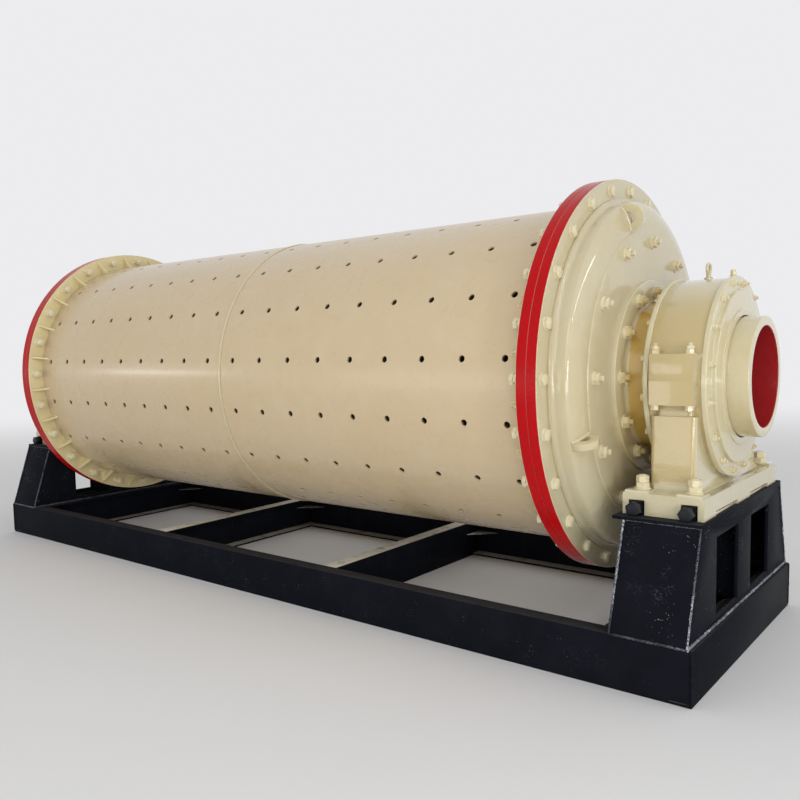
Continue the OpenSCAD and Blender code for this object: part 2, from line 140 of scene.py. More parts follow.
# Tints on the black paint
CLOUDED_BLACK = from_srgb(29, 31, 38)
SPECK_GREY = from_srgb(186, 188, 194)
SMEAR_GREY = from_srgb(112, 112, 124)
SCUFF_GREY = from_srgb(70, 69, 72)
WELD_GLINT = from_srgb(204, 209, 224)
RUST = from_srgb(80, 54, 40)

# Bearing and studio
OIL_GREY = from_srgb(132, 130, 128)
FLOOR_CLOUD = from_srgb(212, 212, 214)
BACKGROUND = from_srgb(236, 236, 238)
WHITE = (1, 1, 1, 1)


class Socket:
    """An output socket that takes part in Python arithmetic."""

    def __init__(self, graph: "Graph", socket: bpy.types.NodeSocket | None) -> None:
        """Keeps the graph and the socket that this value comes from."""
        self.graph = graph
        self.socket = socket

    def _math(self, operation: str, first: Any, second: Any = 0.0) -> "Socket":
        """Adds one Math node that works on two values or links."""
        return self.graph.add("ShaderNodeMath", {"operation": operation}, {0: first, 1: second})

    def __add__(self, other: Any) -> "Socket":
        """Adds a number or a socket."""
        return self._math("ADD", self, other)

    def __sub__(self, other: Any) -> "Socket":
        """Takes a number or a socket away."""
        return self._math("SUBTRACT", self, other)

    def __rsub__(self, other: Any) -> "Socket":
        """Takes this value away from a number."""
        return self._math("SUBTRACT", other, self)

    def __mul__(self, other: Any) -> "Socket":
        """Multiplies by a number or a socket."""
        return self._math("MULTIPLY", self, other)

    def __abs__(self) -> "Socket":
        """Gives the value without its sign."""
        return self._math("ABSOLUTE", self)

    __radd__ = __add__
    __rmul__ = __mul__

    def root(self) -> "Socket":
        """Gives the square root."""
        return self._math("SQRT", self)

    def larger(self, other: Any) -> "Socket":
        """Gives the larger of two values."""
        return self._math("MAXIMUM", self, other)

    def step(self, low: float, high: float) -> "Socket":
        """Rises smoothly from 0 at low to 1 at high, or falls where low is the higher one."""
        inputs = {"Value": self, "From Min": low, "From Max": high}
        return self.graph.add("ShaderNodeMapRange", {"interpolation_type": "SMOOTHSTEP"}, inputs)


class Graph:
    """The node graph of one material or of the world."""

    def __init__(self, tree: bpy.types.NodeTree) -> None:
        """Empties the tree and keeps it."""
        tree.nodes.clear()
        self.tree = tree

    def add(self, kind: str, settings: dict | None = None, inputs: dict | None = None, out: Any = 0) -> Socket:
        """Adds a node, sets its options and then its sockets.

        Args:
            kind: The node's type.
            settings: Options by name.
            inputs: Values or links by socket name or number.
            out: Name or number of the output to give back.

        Returns:
            That output.
        """
        node = self.tree.nodes.new(kind)
        for name, value in (settings or {}).items():
            setattr(node, name, value)
        for name, value in (inputs or {}).items():
            if isinstance(value, Socket):
                self.tree.links.new(value.socket, node.inputs[name])
            else:
                node.inputs[name].default_value = value
        return Socket(self, node.outputs[out] if node.outputs else None)

    def place(self) -> Socket:
        """Gives the place on the piece, in the frame's own metres."""
        return self.add("ShaderNodeTexCoord", out="Object")

    def parts(self, output: str = "Object") -> tuple[Socket, ...]:
        """Splits the place on the piece, or the Normal fixed to the piece, into X, Y and Z."""
        vector = self.add("ShaderNodeTexCoord", out=output)
        split = self.add("ShaderNodeSeparateXYZ", inputs={0: vector}).socket.node
        return tuple(Socket(self, part) for part in split.outputs)

    def noise(self, size: float, detail: float = 3.0, rough: float = 0.55,
              stretch: Point | None = None) -> Socket:
        """Adds cloudy noise that is fixed to the piece.

        Args:
            size: Size of its larger features in metres.
            detail: Number of finer layers.
            rough: Share of each finer layer.
            stretch: Factor on each axis of the place, or none.

        Returns:
            A value about 0.5.
        """
        vector = self.place()
        if stretch:
            vector = self.add("ShaderNodeMapping", inputs={"Vector": vector, "Scale": stretch})
        inputs = {"Vector": vector, "Scale": 1 / size, "Detail": detail, "Roughness": rough}
        return self.add("ShaderNodeTexNoise", inputs=inputs)

    def cells(self, size: float) -> Socket:
        """Gives the distance to the nearest of scattered points, in cells."""
        inputs = {"Vector": self.place(), "Scale": 1 / size}
        return self.add("ShaderNodeTexVoronoi", inputs=inputs, out="Distance")

    def coats(self, base: Any, layers: Iterable[tuple[Any, Any]]) -> Any:
        """Lays colours over a base colour.

        Args:
            base: The colour or link at the bottom.
            layers: Share and colour of each layer, from the lowest up.

        Returns:
            The mixed colour.
        """
        for share, colour in layers:
            base = self.add("ShaderNodeMix", {"data_type": "RGBA"}, {0: share, 6: base, 7: colour}, 2)
        return base

    def bump(self, height: Socket, depth: float) -> Socket:
        """Turns a height into a normal, where 1 stands depth metres above 0."""
        return self.add("ShaderNodeBump", inputs={"Height": height, "Distance": depth, "Strength": 1.0})

    def surface(self, inputs: dict) -> None:
        """Ends the graph in a Principled shader with these sockets."""
        shader = self.add("ShaderNodeBsdfPrincipled", inputs=inputs)
        self.add("ShaderNodeOutputMaterial", inputs={"Surface": shader})

    def seen(self) -> Socket:
        """Tells what is seen straight, in a reflection or through glass from light.

        Returns:
            1 for what is seen, 0 for light.
        """
        path = self.add("ShaderNodeLightPath", out="Is Camera Ray")
        outputs = path.socket.node.outputs
        for ray in ("Glossy", "Transmission"):
            path = path.larger(Socket(self, outputs[f"Is {ray} Ray"]))
        return path


def new_material(name: str) -> tuple[Material, Graph]:
    """Makes an empty material.

    Args:
        name: Its name.

    Returns:
        The material and its graph.
    """
    material = bpy.data.materials.new(name)
    material.use_nodes = True
    return material, Graph(material.node_tree)


class DrumPlaces:
    """Places on the drum and its bearings, each a mask of 1 there and 0 elsewhere."""

    def __init__(self, graph: Graph) -> None:
        """Works out the distance from the mid-length, from the floor and from the mill axis."""
        x, y, self.z = graph.parts()
        up = self.z - AXIS_Z
        self.graph, self.x, self.radius = graph, abs(x), (y * y + up * up).root()

    def wobble(self, size: float, detail: float) -> Socket:
        """Gives how far a painted edge wanders, in metres."""
        return (self.graph.noise(size, detail) - 0.5) * 0.003

    def rim(self) -> Socket:
        """Finds the edges of the two rims that are painted red."""
        edge = (abs(self.x - JOINT_X) + self.wobble(0.06, 3.0)).step(0.0520, 0.0508)
        return self.radius.step(1.0618, 1.0628) * edge

    def bore(self) -> Socket:
        """Finds the red bore of the trunnion."""
        return (self.radius + self.wobble(0.09, 2.0)).step(0.2595, 0.2585)

    def joint_line(self) -> Socket:
        """Finds the joint between the two rims high on the drum, whose paler red is a painted highlight of its
        chamfered edges.
        """
        return abs(self.x - JOINT_X).step(0.0026, 0.0014) * self.z.step(0.9, 1.9)

    def flange_back(self) -> Socket:
        """Finds the back of the shell's flange and what lies behind it, which are painted paler as painted
        light.
        """
        return self.x.step(2.2530, 2.2515)

    def creases(self) -> Socket:
        """Finds the foot of the head's two steps, where a brown line is painted shade.

        Returns:
            The mask, weaker on the inner step.
        """
        outer = abs(self.radius - STEP_RING_R).step(0.0034, 0.0016) * self.x.step(2.372, 2.364)
        inner = abs(self.radius - FLAT_R).step(0.0020, 0.0008)
        return outer.larger(inner * 0.6) * self.x.step(2.350, 2.358)

    def recess(self) -> Socket:
        """Finds the deep recess round the trunnion's neck, where ochre is painted shade and painted bounced
        yellow light.

        Returns:
            The mask, which is weak low on the head.
        """
        neck = self.x.step(2.508, 2.530) * self.x.step(2.80, 2.70) * self.radius.step(0.70, 0.42)
        low = self.x.step(2.44, 2.48) * self.z.step(1.50, 0.85) * self.radius.step(0.90, 0.50)
        return neck.larger(low * 0.35)

    def sags(self) -> Socket:
        """Gives the height of the thick paint's wrinkles low on the head, 0 elsewhere."""
        where = self.x.step(2.37, 2.39) * self.z.step(0.98, 0.76) * self.radius.step(0.60, 0.66)
        return self.graph.noise(0.035, 3.0, 0.6) * where


@dataclass(frozen=True)
class CreamPaint:
    """Thick glossy cream paint, brushed and sprayed over castings and plate."""

    name: str
    colour: Colour = from_srgb(206, 197, 162)
    shade: Colour = from_srgb(192, 172, 116)
    red: Colour = from_srgb(180, 12, 18)
    zone: RedZone = RedZone.NONE
    gloss_rough: float = 0.19
    peel_size: float = 0.015
    peel_depth: float = 0.0010
    grime: float = 0.5
    fine: float = 0.12
    warm_sides: float = 0.0
    bare_r: float = 0.0
    recess: float = 0.0
    shine: float = 0.40
    coat: float = 0.35
    coat_rough: float = 0.07

    def build(self) -> Material:
        """Builds the material."""
        material, graph = new_material(self.name)
        spot = DrumPlaces(graph)
        _, aside, up = graph.parts("Normal")
        cloud = graph.noise(0.16, 4.0, 0.6)
        dust = graph.noise(0.035, 5.0, 0.7).step(0.56, 0.80)
        runs = graph.noise(0.05, stretch=(1, 1, 0.12)).step(0.56, 0.74)
        specks = graph.cells(0.045).step(0.10, 0.04) * graph.noise(0.11).step(0.5, 0.62)
        settled = up.step(0.55, 0.95) * graph.noise(0.06, 4.0).step(0.4, 0.7)
        peel = graph.noise(self.peel_size, 2.0, 0.45) + graph.noise(self.peel_size * 4, 2.0) * 1.2
        layers = [
            (graph.noise(0.7).step(0.35, 0.7) * 0.28, self.shade),
            (cloud.step(0.5, 0.75) * 0.10, PALE_CREAM),
            (runs * (0.10 * self.grime), RUN_BROWN),
            (dust * (0.22 * self.grime), DUST_BROWN),
            (specks * (0.7 * self.grime), SPECK_BROWN),
            (settled * 0.14, SETTLED_DUST),
        ]
        # Painted light: faces that look sideways, above the foot, take a warm tint that stands in for warm
        # bounced light.
        if self.warm_sides:
            warm = abs(aside).step(0.30, 0.90) * spot.z.step(0.912, 0.935)
            layers.append((warm * self.warm_sides, WARM_CREAM))
        # Painted shade: ochre in the recess round the trunnion's neck and, weaker, low on the head.
        if self.recess:
            layers.append((spot.recess() * self.recess, RECESS_OCHRE))
        # Bare steel inside the drum and deep in its holes, painted near black: partly the bare plate, partly
        # painted shade of the drum's dark interior.
        if self.bare_r:
            layers.append((spot.radius.step(self.bare_r, self.bare_r - 0.003) * 0.93, BARE_INSIDE))
        coat = self.coat
        if self.zone is not RedZone.NONE:
            dark = graph.noise(0.12, 4.0).step(0.4, 0.75) * 0.30
            reds = [(dark, DARK_RED), (dust * 0.12, DUSTY_RED)]
            where = spot.bore()
            if self.zone is RedZone.RIM:
                where = spot.rim()
                # Painted shade: a brown line along the foot of the head's two steps.
                layers.append((spot.creases() * 0.35, CREASE_BROWN))
                # Painted light: the back of the flange and its gussets are painted paler.
                layers.append((spot.flange_back() * 0.65, FLANGE_BACK_CREAM))
                # Painted highlight: paler red along the joint of the two rims, high on the drum.
                reds.append((spot.joint_line() * 0.38, WORN_RED))
                peel = peel + spot.sags() * 6.0
            layers.append((where, graph.coats(self.red, reds)))
            coat = (1 - where) * self.coat
        graph.surface(
            {
                "Base Color": graph.coats(self.colour, layers),
                "Roughness": dust * (0.32 * self.grime) + cloud * 0.10 + (self.gloss_rough - 0.05),
                "Normal": graph.bump(peel + graph.noise(0.007, 2.0) * self.fine, self.peel_depth),
                "Coat Weight": coat,
                "Coat Roughness": self.coat_rough,
                "Specular IOR Level": self.shine,
            }
        )
        return material


@dataclass(frozen=True)
class BlackPaint:
    """Black gloss paint on rolled steel, with dust where it can lie."""

    name: str
    colour: Colour = from_srgb(21, 23, 29)
    dust_colour: Colour = from_srgb(160, 155, 150)
    dust_top: float = 0.08
    dust_low: float = 0.85
    speckle: float = 0.25
    smear: float = 0.05
    glints: float = 0.0
    shine: float = 0.008

    def build(self) -> Material:
        """Builds the material."""
        material, graph = new_material(self.name)
        _, _, up = graph.parts("Normal")
        _, _, height = graph.parts()
        cloud = graph.noise(0.20, 4.0, 0.6)
        lying = up.step(0.6, 0.98) * graph.noise(0.09, 5.0, 0.65).step(0.18, 0.50)
        share = height.step(0.22, 0.20) * (self.dust_low - self.dust_top) + self.dust_top
        specks = graph.cells(0.015).step(0.16, 0.10) * graph.noise(0.13).step(0.54, 0.66)
        smear = graph.noise(0.012, 4.0, 0.7).step(0.52, 0.64) * graph.noise(0.21, 2.0).step(0.58, 0.72)
        scuffs = graph.noise(0.03, 5.0, 0.7, (1, 1, 0.25)).step(0.64, 0.76)
        rust = graph.noise(0.05, 6.0, 0.7).step(0.70, 0.78)
        layers = [
            (cloud.step(0.35, 0.75) * 0.5, CLOUDED_BLACK),
            (lying * share, self.dust_colour),
            # Weld spatter specks painted pale: partly real spatter, partly painted highlight of its glints.
            (specks * self.speckle, SPECK_GREY),
            (smear * self.smear, SMEAR_GREY),
        ]
        if self.glints:
            bright = graph.noise(0.0045, 2.0, 0.6).step(0.46, 0.58) * graph.noise(0.16).step(0.34, 0.54)
            layers.append((bright * self.glints, WELD_GLINT))
        layers += [(scuffs * 0.16, SCUFF_GREY), (rust * 0.18, RUST)]
        graph.surface(
            {
                "Base Color": graph.coats(self.colour, layers),
                "Roughness": lying * 0.45 + scuffs * 0.2 + cloud * 0.12 + 0.30,
                "Normal": graph.bump(graph.noise(0.02, 2.0) + graph.noise(0.012, 3.0, 0.6) * 0.3, 0.0007),
                "Specular IOR Level": self.shine,
            }
        )
        return material


@dataclass(frozen=True)
class BearingSteel:
    """Machined bearing steel with a film of oil."""

    name: str
    colour: Colour = from_srgb(186, 186, 188)

    def build(self) -> Material:
        """Builds the material."""
        material, graph = new_material(self.name)
        rings = graph.noise(0.08, stretch=(60, 1, 1))
        graph.surface(
            {
                "Base Color": graph.coats(self.colour, [(rings.step(0.4, 0.7) * 0.4, OIL_GREY)]),
                "Metallic": 1.0,
                "Roughness": rings * 0.2 + 0.2,
                "Normal": graph.bump(rings, 0.0002),
            }
        )
        return material


@dataclass(frozen=True)
class PaleFloor:
    """Plain pale studio floor that runs into the pale background far from the mill."""

    name: str
    colour: Colour = from_srgb(230, 230, 231)

    def build(self) -> Material:
        """Builds the material."""
        material, graph = new_material(self.name)
        cloud = graph.noise(0.8, 4.0)
        colour = graph.coats(self.colour, [(cloud * 0.12, FLOOR_CLOUD)])
        inputs = {"Base Color": colour, "Roughness": 0.8, "Normal": graph.bump(cloud, 0.001)}
        near = graph.add("ShaderNodeBsdfPrincipled", inputs=inputs)
        far = graph.add("ShaderNodeEmission", inputs={"Color": BACKGROUND, "Strength": 1.0})
        x, y, _ = graph.parts()
        away = (x * x + y * y).root().step(5.0, 17.0)
        both = graph.add("ShaderNodeMixShader", inputs={0: away * graph.seen(), 1: near, 2: far})
        graph.add("ShaderNodeOutputMaterial", inputs={"Surface": both})
        return material


class Bench:
    """Operators of the modelling bench, used on one piece at a time."""

    @staticmethod
    def clear() -> None:
        """Goes back to object mode and leaves nothing selected."""
        if bpy.context.mode != "OBJECT":
            bpy.ops.object.mode_set(mode="OBJECT")
        bpy.ops.object.select_all(action="DESELECT")

    @staticmethod
    def hold(piece: Piece) -> None:
        """Selects one piece and makes it the active one."""
        Bench.clear()
        piece.select_set(True)
        bpy.context.view_layer.objects.active = piece

    @staticmethod
    def edit(piece: Piece) -> None:
        """Opens one piece in edit mode with nothing selected."""
        Bench.hold(piece)
        bpy.ops.object.mode_set(mode="EDIT")
        bpy.ops.mesh.select_mode(type="VERT")
        bpy.ops.mesh.select_all(action="DESELECT")

    @staticmethod
    def close() -> None:
        """Leaves edit mode."""
        bpy.ops.object.mode_set(mode="OBJECT")

    @staticmethod
    def put(name: str, data: Any) -> bpy.types.Object:
        """Puts a mesh, curve, light or camera in the scene under one name."""
        item = bpy.data.objects.new(name, data)
        data.name = name
        bpy.context.scene.collection.objects.link(item)
        return item

    @staticmethod
    def settle(piece: Piece) -> Piece:
        """Applies a piece's place, turn and scale to its mesh."""
        Bench.hold(piece)
        bpy.ops.object.transform_apply(location=True, rotation=True, scale=True)
        return piece

    @staticmethod
    def pick(piece: Piece, element: Element, test: Callable[[Any], bool]) -> None:
        """Selects faces or edges in edit mode.

        Args:
            piece: The piece in edit mode.
            element: Whether faces or edges are selected.
            test: Says of a face or an edge whether it is.
        """
        bpy.ops.mesh.select_mode(type=element.value)
        mesh = bmesh.from_edit_mesh(piece.data)
        for item in mesh.faces if element is Element.FACE else mesh.edges:
            item.select_set(test(item))
        bmesh.update_edit_mesh(piece.data)

    @staticmethod
    def tidy_faces() -> None:
        """Merges doubles, turns the faces outwards and leaves edit mode."""
        bpy.ops.mesh.select_all(action="SELECT")
        bpy.ops.mesh.remove_doubles(threshold=1e-5)
        bpy.ops.mesh.normals_make_consistent(inside=False)
        Bench.close()

    @staticmethod
    def draw(name: str, points: Sequence[Point]) -> Piece:
        """Draws a closed outline, from one vertex that is extruded from each point to the next.

        Args:
            name: Name of the piece.
            points: The outline's corners.

        Returns:
            The piece, still in edit mode with all of it selected.
        """
        Bench.clear()
        bpy.ops.mesh.primitive_plane_add(size=0.001, location=(0, 0, 0))
        piece = bpy.context.object
        piece.name = piece.data.name = name
        bpy.ops.object.mode_set(mode="EDIT")
        bpy.ops.mesh.select_mode(type="VERT")
        bpy.ops.mesh.select_all(action="SELECT")
        bpy.ops.mesh.merge(type="CENTER")
        bpy.ops.transform.translate(value=points[0])
        for start, stop in zip(points, [*points[1:], points[0]]):
            move = tuple(b - a for a, b in zip(start, stop))
            bpy.ops.mesh.extrude_region_move(TRANSFORM_OT_translate={"value": move})
        bpy.ops.mesh.select_all(action="SELECT")
        bpy.ops.mesh.remove_doubles(threshold=1e-6)
        bpy.ops.mesh.select_all(action="SELECT")
        return piece

    @staticmethod
    def lathe(name: str, corners: Sequence[tuple[float, ...]], steps: int, bends: int = 4) -> Piece:
        """Turns a profile round the mill axis and shades it smoothly.

        Args:
            name: Name of the piece.
            corners: Corners of X, radius and, where the corner is rounded, its rounding.
            steps: Steps in the full turn.
            bends: Steps in each rounding.

        Returns:
            The turned piece.
        """
        piece = Bench.draw(name, [(x, 0.0, AXIS_Z + radius) for x, radius in rounded(corners, bends)])
        bpy.ops.mesh.spin(steps=steps, angle=FULL_TURN, center=(0, 0, AXIS_Z), axis=(1, 0, 0))
        Bench.tidy_faces()
        return Bench.soften(piece)

    @staticmethod
    def plate(name: str, outline: Sequence[Point], thickness: Point, edge: float) -> Piece:
        """Cuts a flat plate and rounds its edges.

        Args:
            name: Name of the piece.
            outline: Corners of one face.
            thickness: Move from that face to the other one.
            edge: Rounding of its edges.

        Returns:
            The plate.
        """
        piece = Bench.draw(name, outline)
        bpy.ops.mesh.edge_face_add()
        bpy.ops.mesh.extrude_region_move(TRANSFORM_OT_translate={"value": thickness})
        Bench.tidy_faces()
        return Bench.soften(piece, edge)

    @staticmethod
    def soften(piece: Piece, width: float = 0.0, segments: int = 2) -> Piece:
        """Rounds a piece's sharp edges with a bevel and shades the rest smoothly.

        Args:
            piece: The piece.
            width: Width of the rounding, or 0 for smooth shading alone.
            segments: Its steps.

        Returns:
            The same piece.
        """
        Bench.hold(piece)
        if width:
            bpy.ops.object.modifier_add(type="BEVEL")
            bevel = piece.modifiers[-1]
            bevel.width, bevel.segments, bevel.profile = width, segments, 0.5
            bevel.limit_method, bevel.angle_limit = "ANGLE", math.radians(30)
            bevel.use_clamp_overlap = True
            bpy.ops.object.modifier_apply(modifier=bevel.name)
        bpy.ops.object.shade_smooth_by_angle(angle=math.radians(38))
        return piece

    @staticmethod
    def pipe(name: str, points: Sequence[Vector], radius: float) -> Piece:
        """Lays a round bead along points.

        Args:
            name: Name of the bead.
            points: The points.
            radius: Radius of the bead.

        Returns:
            The bead as a mesh.
        """
        Bench.clear()
        curve = bpy.data.curves.new(name, "CURVE")
        curve.dimensions, curve.bevel_depth, curve.bevel_resolution, curve.use_fill_caps = "3D", radius, 2, True
        spline = curve.splines.new("POLY")
        spline.points.add(len(points) - 1)
        for knot, point in zip(spline.points, points):
            knot.co = (*point, 1.0)
        Bench.hold(Bench.put(name, curve))
        bpy.ops.object.convert(target="MESH")
        return bpy.context.object

    @staticmethod
    def hoop(x: float, height: float, radius: float, wire: float, steps: int, sides: int) -> Piece:
        """Bends round wire into a hoop that stands across the mill axis.

        Args:
            x: Place along the axis.
            height: Height of its middle.
            radius: Radius of the hoop.
            wire: Radius of the wire.
            steps: Steps round the hoop.
            sides: Sides of the wire.

        Returns:
            The hoop.
        """
        Bench.clear()
        bpy.ops.mesh.primitive_torus_add(
            major_radius=radius, minor_radius=wire, major_segments=steps, minor_segments=sides,
            location=(x, 0, height), rotation=(0, math.pi / 2, 0),
        )
        return Bench.settle(bpy.context.object)

    @staticmethod
    def rod(start: Sequence[float], stop: Sequence[float], radius: float, sides: int, rings: int = 1) -> Piece:
        """Makes a round rod that is cut into rings along its length.

        Args:
            start: Middle of one end.
            stop: Middle of the other end.
            radius: Its radius.
            sides: Number of its sides.
            rings: Number of rings along it.

        Returns:
            The rod.
        """
        Bench.clear()
        first, last = Vector(start), Vector(stop)
        along = last - first
        bpy.ops.mesh.primitive_cylinder_add(
            vertices=sides,
            radius=radius,
            depth=along.length,
            location=(first + last) / 2,
            rotation=along.to_track_quat("Z", "Y").to_euler(),
        )
        piece = bpy.context.object
        if rings > 1:
            Bench.edit(piece)
            half = along.length / 2
            Bench.pick(piece, Element.EDGE, lambda edge: abs(edge.verts[0].co.z - edge.verts[1].co.z) > half)
            bpy.ops.mesh.subdivide(number_cuts=rings - 1)
            Bench.close()
        return Bench.settle(piece)

    @staticmethod
    def from_node(node: str, name: str, width: float, segments: int = 2, fillet: float = 0.0,
                  test: Callable[[Any], bool] | None = None) -> Piece:
        """Copies a CAD node, merges its loose triangles into faces and rounds its edges.

        Args:
            node: The CAD node.
            name: Name of the copy.
            width: Width of the rounding.
            segments: Its steps.
            fillet: A larger rounding that some edges get first.
            test: Says of an edge whether it is one of those.

        Returns:
            The copy.
        """
        piece = Bench.put(name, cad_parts[node].data.copy())
        Bench.edit(piece)
        bpy.ops.mesh.customdata_custom_splitnormals_clear()
        bpy.ops.mesh.select_all(action="SELECT")
        bpy.ops.mesh.remove_doubles(threshold=2e-5)
        bpy.ops.mesh.dissolve_limited(angle_limit=math.radians(0.5))
        if test:
            Bench.pick(piece, Element.EDGE, test)
            bpy.ops.mesh.bevel(offset=fillet, segments=5, profile=0.5, affect="EDGES", clamp_overlap=True)
        Bench.close()
        return Bench.soften(piece, width, segments)

    @staticmethod
    def copy(piece: Piece, name: str, matrix: Matrix) -> Piece:
        """Copies a piece with a mesh of its own and moves that mesh.

        Args:
            piece: The piece to copy.
            name: Name of the copy.
            matrix: Where it goes; a mirrored copy has its faces turned back outwards.

        Returns:
            The copy.
        """
        twin = Bench.put(name, piece.data.copy())
        twin.data.transform(matrix)
        if matrix.determinant() < 0:
            twin.data.flip_normals()
        return twin

    @staticmethod
    def join(name: str, pieces: Sequence[Piece]) -> Piece:
        """Joins pieces into one.

        Args:
            name: Name of the result.
            pieces: The pieces.

        Returns:
            The joined piece.
        """
        Bench.hold(pieces[0])
        for piece in pieces[1:]:
            piece.select_set(True)
        if len(pieces) > 1:
            bpy.ops.object.join()
        pieces[0].name = pieces[0].data.name = name
        return pieces[0]

    @staticmethod
    def spread(name: str, model: Piece, places: Iterable[Matrix]) -> Piece:
        """Puts a copy of a model at each place, joins the copies and throws the model away.

        Args:
            name: Name of the result.
            model: The piece that repeats.
            places: Where its copies go.

        Returns:
            The joined copies.
        """
        copies = [Bench.copy(model, f"{name}_{i}", place) for i, place in enumerate(places)]
        bpy.data.objects.remove(model)
        return Bench.join(name, copies)

    @staticmethod
    def weld(name: str, beads: Sequence[Piece], size: float, depth: float) -> Piece:
        """Joins weld beads and displaces them into ripples and spatter.

        Args:
            name: Name of the result.
            beads: The smooth beads.
            size: Size of the lumps.
            depth: Height of the lumps.

        Returns:
            The rough beads, shaded smoothly.
        """
        piece = Bench.join(name, beads)
        Bench.hold(piece)
        lumps = bpy.data.textures.new(f"{name}_lumps", "CLOUDS")
        lumps.noise_scale, lumps.noise_depth = size, 2
        bpy.ops.object.modifier_add(type="DISPLACE")
        displace = piece.modifiers[-1]
        displace.texture, displace.strength, displace.mid_level = lumps, depth, 0.5
        bpy.ops.object.modifier_apply(modifier=displace.name)
        bpy.data.textures.remove(lumps)
        bpy.ops.object.shade_smooth_by_angle(angle=math.radians(60))
        return piece


def rounded(corners: Sequence[tuple[float, ...]], steps: int) -> list[tuple[float, float]]:
    """Rounds the corners of a closed profile.

    Args:
        corners: Corners of X, radius and, where the corner is rounded, its rounding.
        steps: Steps in each rounding.

    Returns:
        Points of X and radius.
    """
    points: list[tuple[float, float]] = []
    for index, (x, radius, *rounding) in enumerate(corners):
        here = Vector((x, radius))
        if not rounding:
            points.append(tuple(here))
            continue
        back = Vector(corners[index - 1][:2]) - here
        ahead = Vector(corners[(index + 1) % len(corners)][:2]) - here
        half = back.angle(ahead) / 2
        reach = min(rounding[0] / math.tan(half), back.length * 0.49, ahead.length * 0.49)
        bend = reach * math.tan(half)
        middle = here + (back.normalized() + ahead.normalized()).normalized() * (bend / math.sin(half))
        first = here + back.normalized() * reach - middle
        last = here + ahead.normalized() * reach - middle
        for step in range(steps + 1):
            share = step / steps
            points.append(tuple(middle + (first * (1 - share) + last * share).normalized() * bend))
    return points


def round_axis(degrees: float, radius: float, x: float) -> Vector:
    """Gives a point round the mill axis.

    Args:
        degrees: Angle above the horizontal on the -Y side.
        radius: Distance from the axis.
        x: Place along the axis.

    Returns:
        The point.
    """
    angle = math.radians(degrees)
    return Vector((x, -radius * math.cos(angle), AXIS_Z + radius * math.sin(angle)))


def standing(place: Vector, direction: Vector, turn: float = 0.0) -> Matrix:
    """Gives the matrix that stands a piece modelled along Z on a place.

    Args:
        place: The point that it stands on.
        direction: Where its Z axis goes.
        turn: Its turn about that axis, in radians.

    Returns:
        The matrix.
    """
    turned = direction.to_track_quat("Z", "Y").to_matrix().to_4x4()
    return Matrix.Translation(place) @ turned @ Matrix.Rotation(turn, 4, "Z")


@dataclass(frozen=True)
class Fastener:
    """A hexagon nut on its washer with a lock nut and the end of its stud, standing on the origin."""

    nut_r: float
    nut_h: float
    washer_r: float = 0.0
    washer_h: float = 0.0
    stud_r: float = 0.0
    stud_h: float = 0.0
    threads: int = 1
    lock_r: float = 0.0
    lock_h: float = 0.0

    @staticmethod
    def _section(sides: int, radius: float, low: float, height: float, chamfer: float,
                 turn: float = 0.0) -> Piece:
        """Makes one turned or hexagonal section with a chamfered top.

        Args:
            sides: Number of its sides.
            radius: Radius at its corners.
            low: Height of its underside.
            height: Its height.
            chamfer: Size of the chamfer on its top.
            turn: Its turn about its own axis.

        Returns:
            The section.
        """
        Bench.clear()
        side_h = height - chamfer
        bpy.ops.mesh.primitive_cylinder_add(
            vertices=sides, radius=radius, depth=side_h,
            location=(0, 0, low + side_h / 2), rotation=(0, 0, turn),
        )
        piece = bpy.context.object
        Bench.edit(piece)
        Bench.pick(piece, Element.FACE, lambda face: face.normal.z > 0.9)
        bpy.ops.mesh.extrude_region_move(TRANSFORM_OT_translate={"value": (0, 0, chamfer)})
        shrink = 1 - 1.6 * chamfer / radius
        bpy.ops.transform.resize(value=(shrink, shrink, 1), center_override=(0, 0, low + height))
        Bench.close()
        return Bench.settle(piece)

    def model(self, name: str) -> Piece:
        """Models the fastener.

        Args:
            name: Its name.

        Returns:
            The fastener.
        """
        hexagon, stud_sides, washer_sides = 6, 12, 16
        sections = []
        if self.washer_r:
            sections.append(self._section(washer_sides, self.washer_r, 0.0, self.washer_h, 0.0015))
        top = self.washer_h + self.nut_h
        sections.append(self._section(hexagon, self.nut_r, self.washer_h, self.nut_h, 0.12 * self.nut_h))
        if self.lock_r:
            sections.append(self._section(hexagon, self.lock_r, top, self.lock_h, 0.14 * self.lock_h, 0.4))
            top += self.lock_h
        if self.stud_r:
            pitch = self.stud_h / self.threads
            for thread in range(self.threads):
                low = top + thread * pitch - (0 if thread else 0.001)
                sections.append(self._section(stud_sides, self.stud_r, low, pitch, 0.35 * min(pitch, 0.006)))
        return Bench.soften(Bench.join(name, sections))


def mixed(kind: type, name: str, *colours: Colour, **settings: Any) -> Any:
    """Gives a field whose material is built when the shop opens."""
    return field(default_factory=lambda: kind(name, *colours, **settings).build())


